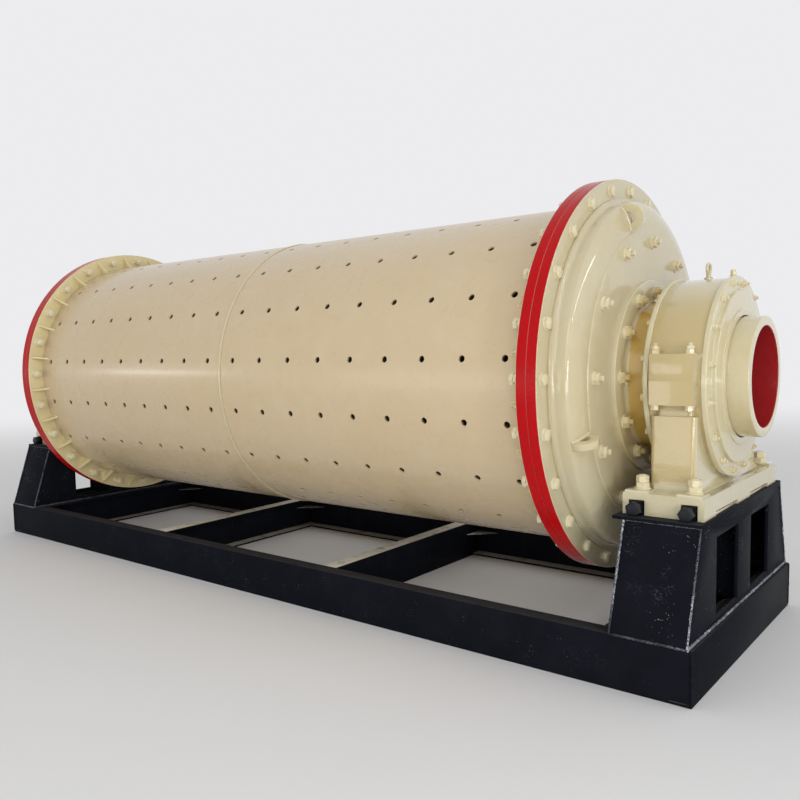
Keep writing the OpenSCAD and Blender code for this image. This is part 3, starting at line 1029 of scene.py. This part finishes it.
@dataclass
class Shop:
    """The finishes, and the counter over which finished pieces go."""

    barrel: Material = mixed(
        CreamPaint, "cream_barrel_paint", from_srgb(203, 183, 149), from_srgb(198, 174, 132), peel_size=0.045,
        peel_depth=0.0002, gloss_rough=0.28, grime=0.02, fine=0.0, bare_r=0.935, shine=0.25, coat_rough=0.16)
    cast: Material = mixed(CreamPaint, "cream_casting_paint", coat=0.9, coat_rough=0.05)
    housing: Material = mixed(
        CreamPaint, "cream_housing_paint", from_srgb(202, 193, 160), warm_sides=0.68, coat=0.9, coat_rough=0.05)
    rim: Material = mixed(
        CreamPaint, "cream_paint_red_rim", from_srgb(198, 188, 157), zone=RedZone.RIM, recess=0.5, shine=0.10,
        coat=1.0, coat_rough=0.06)
    bore: Material = mixed(
        CreamPaint, "cream_paint_red_bore", red=from_srgb(158, 36, 38), zone=RedZone.BORE, recess=0.95,
        coat=0.9, coat_rough=0.05)
    bolt: Material = mixed(
        CreamPaint, "cream_bolt_paint", from_srgb(221, 211, 176), from_srgb(196, 176, 126), peel_size=0.012,
        peel_depth=0.0005, recess=0.5)
    black: Material = mixed(BlackPaint, "black_frame_paint")
    dusty: Material = mixed(
        BlackPaint, "black_paint_under_dust", dust_colour=from_srgb(200, 195, 182), dust_top=1.0, dust_low=0.62,
        speckle=0.2)
    plates: Material = mixed(
        BlackPaint, "black_plates_under_dust", dust_colour=from_srgb(238, 238, 242), dust_top=1.0, dust_low=1.0)
    pedestal: Material = mixed(BlackPaint, "black_pedestal_paint", speckle=0.7, smear=0.22)
    weld: Material = mixed(BlackPaint, "black_weld_paint", glints=0.85, shine=0.3)
    seam: Material = mixed(BlackPaint, "black_seam_paint", glints=0.28, shine=0.1)
    screw: Material = mixed(BlackPaint, "black_screw_paint", from_srgb(24, 26, 32), shine=0.22)
    steel: Material = mixed(BearingSteel, "bearing_steel_oiled")
    count: int = 0

    def hand_over(self, piece: Piece, body: Body, material: Material, *nodes: str) -> None:
        """Paints a finished piece and puts it on its body.

        Args:
            piece: The piece.
            body: The body that it rides on.
            material: Its material, whose name starts with the colour of its paint.
            nodes: CAD nodes that it stands for.
        """
        piece.data.materials.clear()
        piece.data.materials.append(material)
        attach(piece, body.value)
        if nodes:
            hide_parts(*nodes)
        self.count += 1
        log.info("%s: %d faces on %s", piece.name, len(piece.data.polygons), body.value)

    @staticmethod
    def repaint(node: str, material: Material) -> None:
        """Gives a CAD node that stays its finish."""
        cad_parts[node].data.materials.clear()
        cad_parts[node].data.materials.append(material)


@dataclass
class SubAssembly:
    """Pieces that ride on one body, and the shop that finishes them."""

    shop: Shop
    body: Body = Body.STAND
    steps: int = 128

    def both_ends(self, piece: Piece, material: Material, node: str = "", feed: Material | None = None) -> None:
        """Hands over a piece of the +X end and its mirror image, each named after its end.

        Args:
            piece: The piece at the +X end.
            material: Their material.
            node: Name, without the end's name, of the CAD node that each stands for.
            feed: The material of the feed end's twin where it differs.
        """
        name = piece.name
        twin = Bench.copy(piece, f"feed_{name}", MIRROR_X)
        piece.name = piece.data.name = f"discharge_{name}"
        for end, item, finish in (("discharge", piece, material), ("feed", twin, feed or material)):
            self.shop.hand_over(item, self.body, finish, *([f"{end}_{node}"] if node else []))


@dataclass
class Drum(SubAssembly):
    """The turning part: shell, flanges, heads, lifting plates and trunnions."""

    body: Body = Body.DRUM
    steps: int = 144
    shell_r: float = 0.943
    rim_r: float = 1.064
    back_x: float = 2.250
    face_x: float = 2.360
    gussets: int = 24
    gusset_half_t: float = 0.007
    gusset_reach: float = 0.088
    gusset_nose: float = 0.008
    bolts: int = 24
    bolt_r: float = 1.006
    head_bolts: int = 12
    head_bolt_r: float = 0.722
    head_x: float = 2.484
    head_in_x: float = 2.434
    head_wall: float = 0.05
    flat_h: float = 0.0045
    step_h: float = 0.012
    step_w: float = 0.027
    step_bend: float = 0.022
    shoulder_mid_r: float = 0.792
    shoulder_w: float = 0.144
    shoulder_d: float = 0.054
    plate_half_t: float = 0.018
    spigot_r: float = 0.330
    trunnion_r: float = 0.518
    trunnion_t: float = 0.022
    trunnion_bolt_r: float = 0.452
    neck_r: float = 0.400
    journal_r: float = 0.335
    tube_r: float = 0.305
    tube_reach: float = 0.282
    bore_r: float = 0.255
    turn: float = 1.5

    def build(self) -> None:
        """Builds the whole drum and hands it over."""
        self.shell()
        self.flange()
        self.head()
        self.lifting_plates()
        self.trunnion()
        self.fasteners()

    def shell(self) -> None:
        """Repaints the drilled cans and lays the weld bead that joins them."""
        for node in ("feed_shell", "discharge_shell"):
            self.shop.repaint(node, self.shop.barrel)
        bead = Bench.hoop(0, AXIS_Z, self.shell_r + 0.0008, 0.0055, 540, 8)
        Bench.edit(bead)
        bpy.ops.mesh.select_all(action="SELECT")
        bpy.ops.transform.resize(value=(1.7, 1, 1), center_override=(0, 0, AXIS_Z))
        Bench.close()
        bead = Bench.weld("shell_seam_bead", [bead], 0.012, 0.0016)
        self.shop.hand_over(bead, self.body, self.shop.cast)

    def flange(self) -> None:
        """Builds the shell's bolted ring, its gussets and their welds."""
        seat = JOINT_X - SEAT_GAP
        corners = [
            (self.back_x, self.shell_r), (self.back_x, self.rim_r, 0.004), (seat, self.rim_r, 0.0016),
            (seat, self.shell_r),
        ]
        ring = Bench.lathe("flange_ring", corners, self.steps)
        half_t, nose, sunk = self.gusset_half_t, self.gusset_nose, 0.002
        root, foot, top = self.back_x + 0.001, AXIS_Z + self.shell_r, self.rim_r - 0.022
        outline = [
            (root, -half_t, foot - sunk),
            (root, -half_t, AXIS_Z + top),
            (self.back_x - nose, -half_t, AXIS_Z + top),
            (self.back_x - self.gusset_reach, -half_t, foot + nose),
            (self.back_x - self.gusset_reach, -half_t, foot - sunk),
        ]
        gusset = Bench.plate("gusset", outline, (0, 2 * half_t, 0), 0.002)
        beads = []
        ends = ((self.back_x - self.gusset_reach - 0.003, foot), (self.back_x, AXIS_Z + top + 0.002))
        for y in (-half_t - 0.001, half_t + 0.001):
            for x, height in ends:
                beads.append(Bench.rod((self.back_x, y, foot), (x, y, height), 0.0065, 6, 16))
        model = Bench.join("gusset", [gusset, Bench.weld("gusset_welds", beads, 0.008, 0.004)])
        centre = Matrix.Translation((0, 0, AXIS_Z))
        angles = [(i + 0.5) * FULL_TURN / self.gussets - math.radians(self.turn) for i in range(self.gussets)]
        turns = [centre @ Matrix.Rotation(angle, 4, "X") @ centre.inverted() for angle in angles]
        gussets = Bench.spread("flange_gussets", model, turns)
        self.both_ends(Bench.join("shell_flange_ring", [ring, gussets]), self.shop.rim, "shell_flange")

    def shoulder(self, degrees: Iterable[int], inset: float = 0.0) -> list[tuple[float, float]]:
        """Gives points on the head's rounded shoulder.

        Args:
            degrees: Angles above its outer foot.
            inset: How far inside the surface they lie.

        Returns:
            Points of X and radius.
        """
        low, wide = self.head_x - self.shoulder_d - inset, self.shoulder_w - inset
        return [
            (low + self.shoulder_d * math.sin(a), self.shoulder_mid_r + wide * math.cos(a))
            for a in map(math.radians, degrees)
        ]

    def head(self) -> None:
        """Builds the cast head with its step ring and rounded shoulder."""
        arc = range(84, 0, -6)
        crown = self.shoulder_mid_r + self.shoulder_w
        flat, ring = self.head_x + self.flat_h, self.face_x + self.step_h
        seat = JOINT_X + SEAT_GAP
        fillet = [
            (ring + self.step_bend * (1 - math.sin(a)), crown + self.step_bend * (1 - math.cos(a)))
            for a in map(math.radians, range(0, 91, 15))
        ]
        corners = [
            (self.head_in_x, self.spigot_r), (flat, self.spigot_r), (flat, self.shoulder_mid_r - 0.003, 0.004),
            (self.head_x - 0.0008, self.shoulder_mid_r + 0.001, 0.001),
            *self.shoulder(arc),
            *fillet,
            (ring, crown + self.step_w, 0.003), (self.face_x, crown + self.step_w),
            (self.face_x, self.rim_r, 0.004), (seat, self.rim_r, 0.0016), (seat, crown - self.head_wall),
            *self.shoulder(reversed(arc), self.head_wall),
            (self.head_in_x, self.shoulder_mid_r),
        ]
        self.both_ends(Bench.lathe("head_casting", corners, self.steps), self.shop.rim, "head")

    def lifting_plates(self) -> None:
        """Rounds the lifting plates on the shoulder and fillets them to it."""
        plates = Bench.from_node("discharge_head_lugs", "lifting_plates", 0.007, 3)
        middle = Vector((self.head_x + 0.002, self.shoulder_mid_r + self.shoulder_w - 0.064))
        points = map(Vector, self.shoulder(range(0, 91, 3)))
        foot = [point for point in points if (point - middle).length < 0.072]
        beads = []
        for i in range(4):
            angle = math.radians(self.turn - 20 + 90 * i)
            out = Vector((0, -math.cos(angle), math.sin(angle)))
            aside = Vector((0, math.sin(angle), math.cos(angle)))
            for side in SIDES:
                offset = aside * (side * self.plate_half_t) + Vector((0, 0, AXIS_Z))
                line = [Vector((point.x, 0, 0)) + out * point.y + offset for point in foot]
                beads.append(Bench.pipe("plate_fillet", line, 0.009))
        fillets = Bench.weld("plate_fillets", beads, 0.02, 0.003)
        self.both_ends(Bench.join("lifting_plates", [plates, fillets]), self.shop.cast, "head_lugs")

    def trunnion(self) -> None:
        """Builds the trunnion from its spigot to the tube's mouth."""
        back, face = self.head_x + SEAT_GAP, self.head_x + self.trunnion_t
        neck_end, mouth = BEARING_LOW.x - 0.001, BEARING_X + self.tube_reach
        corners = [
            (self.head_in_x, self.bore_r), (self.head_in_x, self.spigot_r), (back, self.spigot_r),
            (back, self.trunnion_r, 0.002), (face, self.trunnion_r, 0.004), (face, self.neck_r, 0.022),
            (neck_end, self.neck_r, 0.003), (neck_end, self.journal_r), (BEARING_HIGH.x, self.journal_r),
            (BEARING_HIGH.x, self.tube_r, 0.003), (mouth, self.tube_r, 0.006), (mouth, self.bore_r, 0.004),
        ]
        self.both_ends(Bench.lathe("trunnion_casting", corners, self.steps, 5), self.shop.bore, "trunnion")

    def fasteners(self) -> None:
        """Bolts the flanges, the head liners and the trunnions."""
        draw = random.Random(11)

        def ring(name: str, kind: Fastener, count: int, radius: float, x: float, way: int = 1) -> None:
            """Stands a ring of fasteners round the axis and hands it over."""
            out = Vector((way, 0, 0))
            angles = [self.turn + i * 360 / count for i in range(count)]
            places = [standing(round_axis(a, radius, x), out, draw.uniform(0, FULL_TURN)) for a in angles]
            self.both_ends(Bench.spread(name, kind.model(name), places), self.shop.bolt)

        flange_nut = Fastener(0.031, 0.026, 0.035, 0.005, 0.016, 0.004, lock_r=0.030, lock_h=0.024)
        head_nut = Fastener(0.031, 0.022, 0.037, 0.010, 0.015, 0.020, 3)
        trunnion_nut = Fastener(0.032, 0.025, 0.038, 0.006, 0.016, 0.018, 3)
        ring("flange_bolt_heads", Fastener(0.031, 0.016, 0.034, 0.003), self.bolts, self.bolt_r, self.face_x)
        ring("flange_bolt_nuts", flange_nut, self.bolts, self.bolt_r, self.back_x, -1)
        ring("head_liner_bolts", head_nut, self.head_bolts, self.head_bolt_r, self.head_x)
        face = self.head_x + self.trunnion_t
        ring("trunnion_bolts", trunnion_nut, self.head_bolts, self.trunnion_bolt_r, face)


@dataclass
class BearingHouse(SubAssembly):
    """One split bearing housing with its covers, bolts, ring bolt and jacking gear."""

    half: float = 0.125
    column_top: float = 0.170
    cap_lug_z: float = 0.129
    base_lug_z: float = 0.115
    cover_r: float = 0.511
    cover_t: float = 0.026
    register_r: float = 0.4495
    boss_r: float = 0.440
    boss_t: float = 0.022
    collar_r: float = 0.347
    collar_t: float = 0.010
    seal_r: float = 0.341
    opening_r: float = 0.311
    inner_opening_r: float = 0.406
    cap_r: float = 0.502
    cover_bolts: int = 16
    cap_bolt_x: float = 0.082
    cap_bolt_y: float = 0.527
    anchor_x: float = 0.123
    anchor_y: float = 0.566
    pad_z: float = 0.901
    foot_half_x: float = 0.191
    pocket_y: tuple[float, float] = (0.114, 0.465)
    packing_t: float = 0.0130
    packing_w: float = 0.020

    def build(self) -> None:
        """Builds both housings and hands them over."""
        column_top, shoulder = AXIS_Z - self.column_top, AXIS_Z + self.cap_lug_z
        base = Bench.from_node(
            "discharge_housing_base", "housing_lower", 0.007, 3, 0.017,
            lambda edge: all(abs(v.co.z - column_top) < 0.001 and abs(v.co.y) > 0.480 for v in edge.verts))
        self.both_ends(base, self.shop.housing, "housing_base")
        cap = Bench.from_node(
            "discharge_housing_cap", "housing_upper", 0.008, 3, 0.022,
            lambda edge: all(abs(v.co.z - shoulder) < 0.001 and abs(v.co.y) < 0.495 for v in edge.verts))
        self.both_ends(cap, self.shop.housing, "housing_cap")
        self.covers()
        self.ring_bolt()
        self.bolts()
        self.jacking()
        self.shims()

    def covers(self) -> None:
        """Turns the stepped outer cover and the flat inner one."""
        face = BEARING_X + self.half
        seat, ring, boss = face + SEAT_GAP, face + self.cover_t, face + self.cover_t + self.boss_t
        collar = boss + self.collar_t
        outer = [
            (seat, self.opening_r), (seat, self.seal_r), (BEARING_HIGH.x, self.seal_r),
            (BEARING_HIGH.x, self.register_r), (seat, self.register_r), (seat, self.cover_r, 0.003),
            (ring, self.cover_r, 0.006), (ring, self.boss_r, 0.006), (boss, self.boss_r, 0.006),
            (boss, self.collar_r, 0.005), (collar, self.collar_r, 0.003), (collar, self.opening_r, 0.002),
        ]
        self.both_ends(Bench.lathe("outer_cover_casting", outer, self.steps), self.shop.cast, "outer_cover")
        face = BEARING_X - self.half
        seat, ring = face - SEAT_GAP, face - self.cover_t
        inner = [
            (ring, self.inner_opening_r, 0.003), (ring, self.cover_r, 0.006), (seat, self.cover_r, 0.003),
            (seat, self.register_r), (BEARING_LOW.x, self.register_r), (BEARING_LOW.x, self.inner_opening_r),
        ]
        self.both_ends(Bench.lathe("inner_cover_casting", inner, self.steps), self.shop.cast, "inner_cover")

    def ring_bolt(self) -> None:
        """Makes the ring bolt on the cap and the oil plug on the cover."""

        def upright(x: float, foot: float, low: float, high: float, radius: float, sides: int) -> Piece:
            """Makes an upright rod from low to high above its foot."""
            return Bench.rod((x, 0, foot + low), (x, 0, foot + high), radius, sides)

        top = AXIS_Z + self.cap_r
        eye = Bench.hoop(BEARING_X, top + 0.053, 0.0268, 0.0078, 32, 12)
        collar = upright(BEARING_X, top, -0.004, 0.010, 0.022, 20)
        neck = upright(BEARING_X, top, 0.008, 0.026, 0.0125, 16)
        Bench.soften(collar, 0.003)
        piece = Bench.soften(Bench.join("ring_bolt", [eye, collar, neck]))
        self.both_ends(piece, self.shop.cast, "lifting_eye")
        x, crown = BEARING_X + self.half - 0.004, AXIS_Z + self.cover_r
        body = upright(x, crown, -0.016, 0.004, 0.018, 12)
        tip = upright(x, crown, 0.002, 0.032, 0.0145, 6)
        self.both_ends(Bench.soften(Bench.join("oil_plug", [body, tip]), 0.0015), self.shop.bolt)

    def bolts(self) -> None:
        """Bolts the covers, the foot and the cap."""
        draw = random.Random(23)

        def hand(name: str, kind: Fastener, places: list[Matrix]) -> None:
            """Spreads one kind of fastener and hands it over."""
            self.both_ends(Bench.spread(name, kind.model(name), places), self.shop.bolt)

        def ring(radius: float, way: int, first: float) -> list[Matrix]:
            """Gives the places round a cover."""
            x, out = BEARING_X + way * (self.half + self.cover_t), Vector((way, 0, 0))
            angles = [first + i * 360 / self.cover_bolts for i in range(self.cover_bolts)]
            return [standing(round_axis(a, radius, x), out, draw.uniform(0, FULL_TURN)) for a in angles]

        def four(x: float, y: float, height: float, way: int = 1) -> list[Matrix]:
            """Gives the four places that mirror each other on a housing."""
            places = [Vector((BEARING_X + sx * x, sy * y, height)) for sx, sy in CORNERS]
            return [standing(place, Vector((0, 0, way)), draw.uniform(0, 1)) for place in places]

        stud_nut = Fastener(0.0160, 0.014, 0.019, 0.003, 0.008, 0.011, 2)
        anchor = Fastener(0.034, 0.026, 0.040, 0.006, 0.017, 0.004, lock_r=0.030, lock_h=0.034)
        cap_nut = Fastener(0.0195, 0.020, 0.024, 0.004, 0.011, 0.012, 2, lock_r=0.019, lock_h=0.016)
        cap_head = Fastener(0.020, 0.022, 0.023, 0.005)
        cap_x, cap_y = self.cap_bolt_x, self.cap_bolt_y
        hand("outer_cover_bolts", stud_nut, ring(0.478, 1, 9.5))
        hand("inner_cover_bolts", Fastener(0.019, 0.015, 0.023, 0.003), ring(0.482, -1, 12.6))
        hand("anchor_bolts", anchor, four(self.anchor_x, self.anchor_y, self.pad_z))
        hand("cap_bolt_nuts", cap_nut, four(cap_x, cap_y, AXIS_Z + self.cap_lug_z))
        hand("cap_bolt_heads", cap_head, four(cap_x, cap_y, AXIS_Z - self.base_lug_z, -1))

    def jacking(self) -> None:
        """Rounds the jacking blocks and their screws."""
        blocks = Bench.from_node("discharge_jack_blocks", "jacking_blocks", 0.004)
        self.both_ends(blocks, self.shop.black, "jack_blocks")
        low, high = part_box("discharge_jack_screws")
        height = (low.z + high.z) / 2
        places, shanks = [], []
        for sx, sy in CORNERS:
            foot = Vector((BEARING_X + sx * self.anchor_x, sy * (high.y - 0.024), height))
            places.append(standing(foot, Vector((0, sy, 0)), 0.3 + 0.9 * sx * sy))
            start = (foot.x, sy * (high.y - 0.100), height)
            shanks.append(Bench.rod(start, foot + Vector((0, sy * 0.004, 0)), 0.018, 20, 6))
        head = Fastener(0.037, 0.030, 0.030, 0.004).model("jacking_head")
        heads = Bench.spread("jacking_heads", head, places)
        shank = Bench.soften(Bench.join("jacking_shanks", shanks))
        self.both_ends(Bench.join("jacking_screws", [heads, shank]), self.shop.screw, "jack_screws")

    def shims(self) -> None:
        """Lays the packing plates that lie in the pockets under the foot."""
        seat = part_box("discharge_top_plate")[1].z
        top = seat + self.packing_t
        plates = []
        for sx, sy in CORNERS:
            outer = BEARING_X + sx * (self.foot_half_x - 0.006)
            near, far = sy * self.pocket_y[0], sy * self.pocket_y[1]
            outline = [(outer, near, seat), (outer, far, seat), (outer, far, top), (outer, near, top)]
            plates.append(Bench.plate("packing_plate", outline, (-sx * self.packing_w, 0, 0), 0.002))
        self.both_ends(Bench.join("packing_plates", plates), self.shop.cast)


@dataclass
class Skid(SubAssembly):
    """The black frame: pedestals, their top plates, channels, corner plates and weld beads."""

    half_y: float = 0.885
    height: float = 0.260
    end_x: float = 3.012
    pedestal_in_x: float = 2.632
    pedestal_out_x: float = 2.988
    pedestal_top: float = 0.768
    pedestal_top_half: float = 0.712
    edge: float = 0.003
    bead_r: float = 0.006
    slim_bead_r: float = 0.0045
    wide_bead_r: float = 0.0085

    def build(self) -> None:
        """Builds the frame and hands it over."""
        shop = self.shop
        for node, name, paint in (
            ("pedestal", "pedestal_plates", shop.pedestal), ("top_plate", "seat_plate", shop.black),
            ("end_beam", "end_channel", shop.black), ("inner_beam", "inner_channel", shop.black),
        ):
            self.both_ends(Bench.from_node(f"discharge_{node}", name, self.edge), paint, node)
        for node, paint in (
            ("feed_cross_beam", shop.dusty), ("discharge_cross_beam", shop.dusty),
            ("front_side_beam", shop.black), ("back_side_beam", shop.black), ("corner_plates", shop.plates),
        ):
            piece = Bench.from_node(node, node.replace("beam", "channel") + "_steel", self.edge)
            shop.hand_over(piece, self.body, paint, node)
        self.welds()

    def welds(self) -> None:
        """Lays the weld beads of a pedestal and of the skid's corners."""
        beads, seams, corners = [], [], []
        x0, x1, foot, top = self.pedestal_in_x, self.pedestal_out_x, self.height, self.pedestal_top
        for side in SIDES:
            low, high = side * self.half_y, side * self.pedestal_top_half
            waist = (x1, low + (high - low) * 0.45, foot + (top - foot) * 0.45)
            corner_x, corner_y = self.end_x - 0.003, low * 0.998
            beads.append(self._bead((x0, low, foot), (x0, high, top), self.bead_r))
            beads.append(self._bead((x1, low, foot), waist, self.slim_bead_r))
            seams.append(self._bead(waist, (x1, high, top), self.slim_bead_r))
            seams.append(self._bead((x0, low, foot), (x1, low, foot), self.bead_r))
            seams.append(self._bead((x0, high, top), (x1, high, top), self.slim_bead_r))
            corners.append(self._bead((corner_x, corner_y, 0.012), (corner_x, corner_y, 0.250), self.bead_r))
        for x in (x0, x1):
            beads.append(self._bead((x, -self.half_y, foot), (x, self.half_y, foot), self.wide_bead_r))
        shop = self.shop
        self.both_ends(Bench.weld("pedestal_welds", beads, 0.010, 0.007), shop.weld, feed=shop.seam)
        self.both_ends(Bench.weld("pedestal_seams", seams, 0.010, 0.006), shop.seam)
        self.both_ends(Bench.weld("corner_welds", corners, 0.010, 0.003), shop.black)

    @staticmethod
    def _bead(start: Point, stop: Point, radius: float) -> Piece:
        """Lays one straight bead with a ring every 8 mm."""
        rings = int((Vector(stop) - Vector(start)).length / 0.008)
        return Bench.rod(start, stop, radius, 6, max(2, rings))


@dataclass(frozen=True)
class Softbox:
    """One rectangular softbox that hangs at its place and faces a target."""

    name: str
    place: Point
    target: Point
    width: float
    height: float
    power: float

    def build(self) -> None:
        """Hangs the softbox."""
        data = bpy.data.lights.new(self.name, "AREA")
        data.shape, data.size, data.size_y, data.energy = "RECTANGLE", self.width, self.height, self.power
        lamp = Bench.put(self.name, data)
        lamp.location = self.place
        lamp.rotation_euler = (Vector(self.target) - Vector(self.place)).to_track_quat("-Z", "Y").to_euler()


@dataclass
class Studio:
    """Plain pale floor, soft lights and a pale world."""

    world_light: float = 0.62
    floor_half: float = 60.0
    lights: tuple[Softbox, ...] = (
        Softbox("overhead_softbox", (0, 0, 7.0), (0, 0, 1), 10.0, 8.0, 20),
        Softbox("key_softbox", (4.5, -7.5, 4.5), (0.8, 0, 1.2), 4.0, 4.0, 108),
        Softbox("high_strip", (11.0, 0.5, 6.5), (2.5, -0.6, 1.9), 10.0, 0.25, 130),
        Softbox("side_window", (9.5, -5.0, 1.5), (2.9, -0.6, 1.3), 3.0, 2.4, 86),
        Softbox("edge_strip", (9.5, -4.6, 1.8), (2.9, -0.6, 1.4), 0.3, 1.8, 50),
        Softbox("front_fill", (-2.5, -9.5, 1.2), (-0.5, -0.9, 1.2), 7.0, 2.0, 76),
        Softbox("head_fill", (6.0, -5.2, 0.9), (2.5, -0.6, 0.8), 1.2, 0.9, 36),
        Softbox("low_strip", (-9.4, -7.4, 1.75), (-1.2, -0.9, 1.55), 2.2, 0.28, 30),
    )

    def build(self) -> None:
        """Builds the floor, the lights and the world."""
        Bench.clear()
        bpy.ops.mesh.primitive_plane_add(size=2 * self.floor_half, location=(0, 0, 0))
        floor = Bench.settle(bpy.context.object)
        floor.name = floor.data.name = "studio_floor"
        floor.data.materials.append(PaleFloor("pale_floor").build())
        for light in self.lights:
            light.build()
        scene = bpy.context.scene
        scene.world = bpy.data.worlds.new("pale_world")
        scene.world.use_nodes = True
        graph = Graph(scene.world.node_tree)
        plain = graph.add("ShaderNodeBackground", inputs={"Color": WHITE, "Strength": self.world_light})
        pale = graph.add("ShaderNodeBackground", inputs={"Color": BACKGROUND, "Strength": 1.0})
        both = graph.add("ShaderNodeMixShader", inputs={0: graph.seen(), 1: plain, 2: pale})
        graph.add("ShaderNodeOutputWorld", inputs={"Surface": both})
        scene.view_settings.view_transform = "Standard"


@dataclass
class ViewCamera:
    """The camera at the photograph's viewing angle."""

    place: Point = (4.1212, -4.4053, 1.6253)
    yaw: float = 39.98
    pitch: float = 5.01
    roll: float = 1.31
    lens: float = 36.36
    shift: tuple[float, float] = (0.0469, 0.0195)

    def build(self) -> None:
        """Builds the camera and makes it the scene's."""
        yaw, pitch, roll = (math.radians(a) for a in (self.yaw, self.pitch, self.roll))
        ahead = Vector((-math.sin(yaw) * math.cos(pitch), math.cos(yaw) * math.cos(pitch), -math.sin(pitch)))
        level = Vector((math.cos(yaw), math.sin(yaw), 0))
        below = ahead.cross(level)
        right = level * math.cos(roll) + below * math.sin(roll)
        down = below * math.cos(roll) - level * math.sin(roll)
        data = bpy.data.cameras.new("view_camera")
        data.lens, data.sensor_width = self.lens, 36.0
        data.shift_x, data.shift_y = self.shift
        data.clip_start, data.clip_end = 0.05, 200.0
        camera = Bench.put("view_camera", data)
        camera.matrix_world = Matrix((
            (right.x, -down.x, -ahead.x, self.place[0]),
            (right.y, -down.y, -ahead.y, self.place[1]),
            (right.z, -down.z, -ahead.z, self.place[2]),
            (0, 0, 0, 1),
        ))
        bpy.context.scene.camera = camera


def main() -> None:
    """Builds the studio and the mill, from the drum to the skid."""
    logging.basicConfig(level=logging.INFO, format="%(name)s: %(message)s")
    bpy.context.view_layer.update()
    ViewCamera().build()
    Studio().build()
    shop = Shop()
    for part in (Drum(shop), BearingHouse(shop), Skid(shop)):
        part.build()
        log.info("%s done, %d pieces so far", type(part).__name__, shop.count)
    for node in ("feed_bearing", "discharge_bearing"):
        shop.repaint(node, shop.steel)


if __name__ == "__main__":
    main()
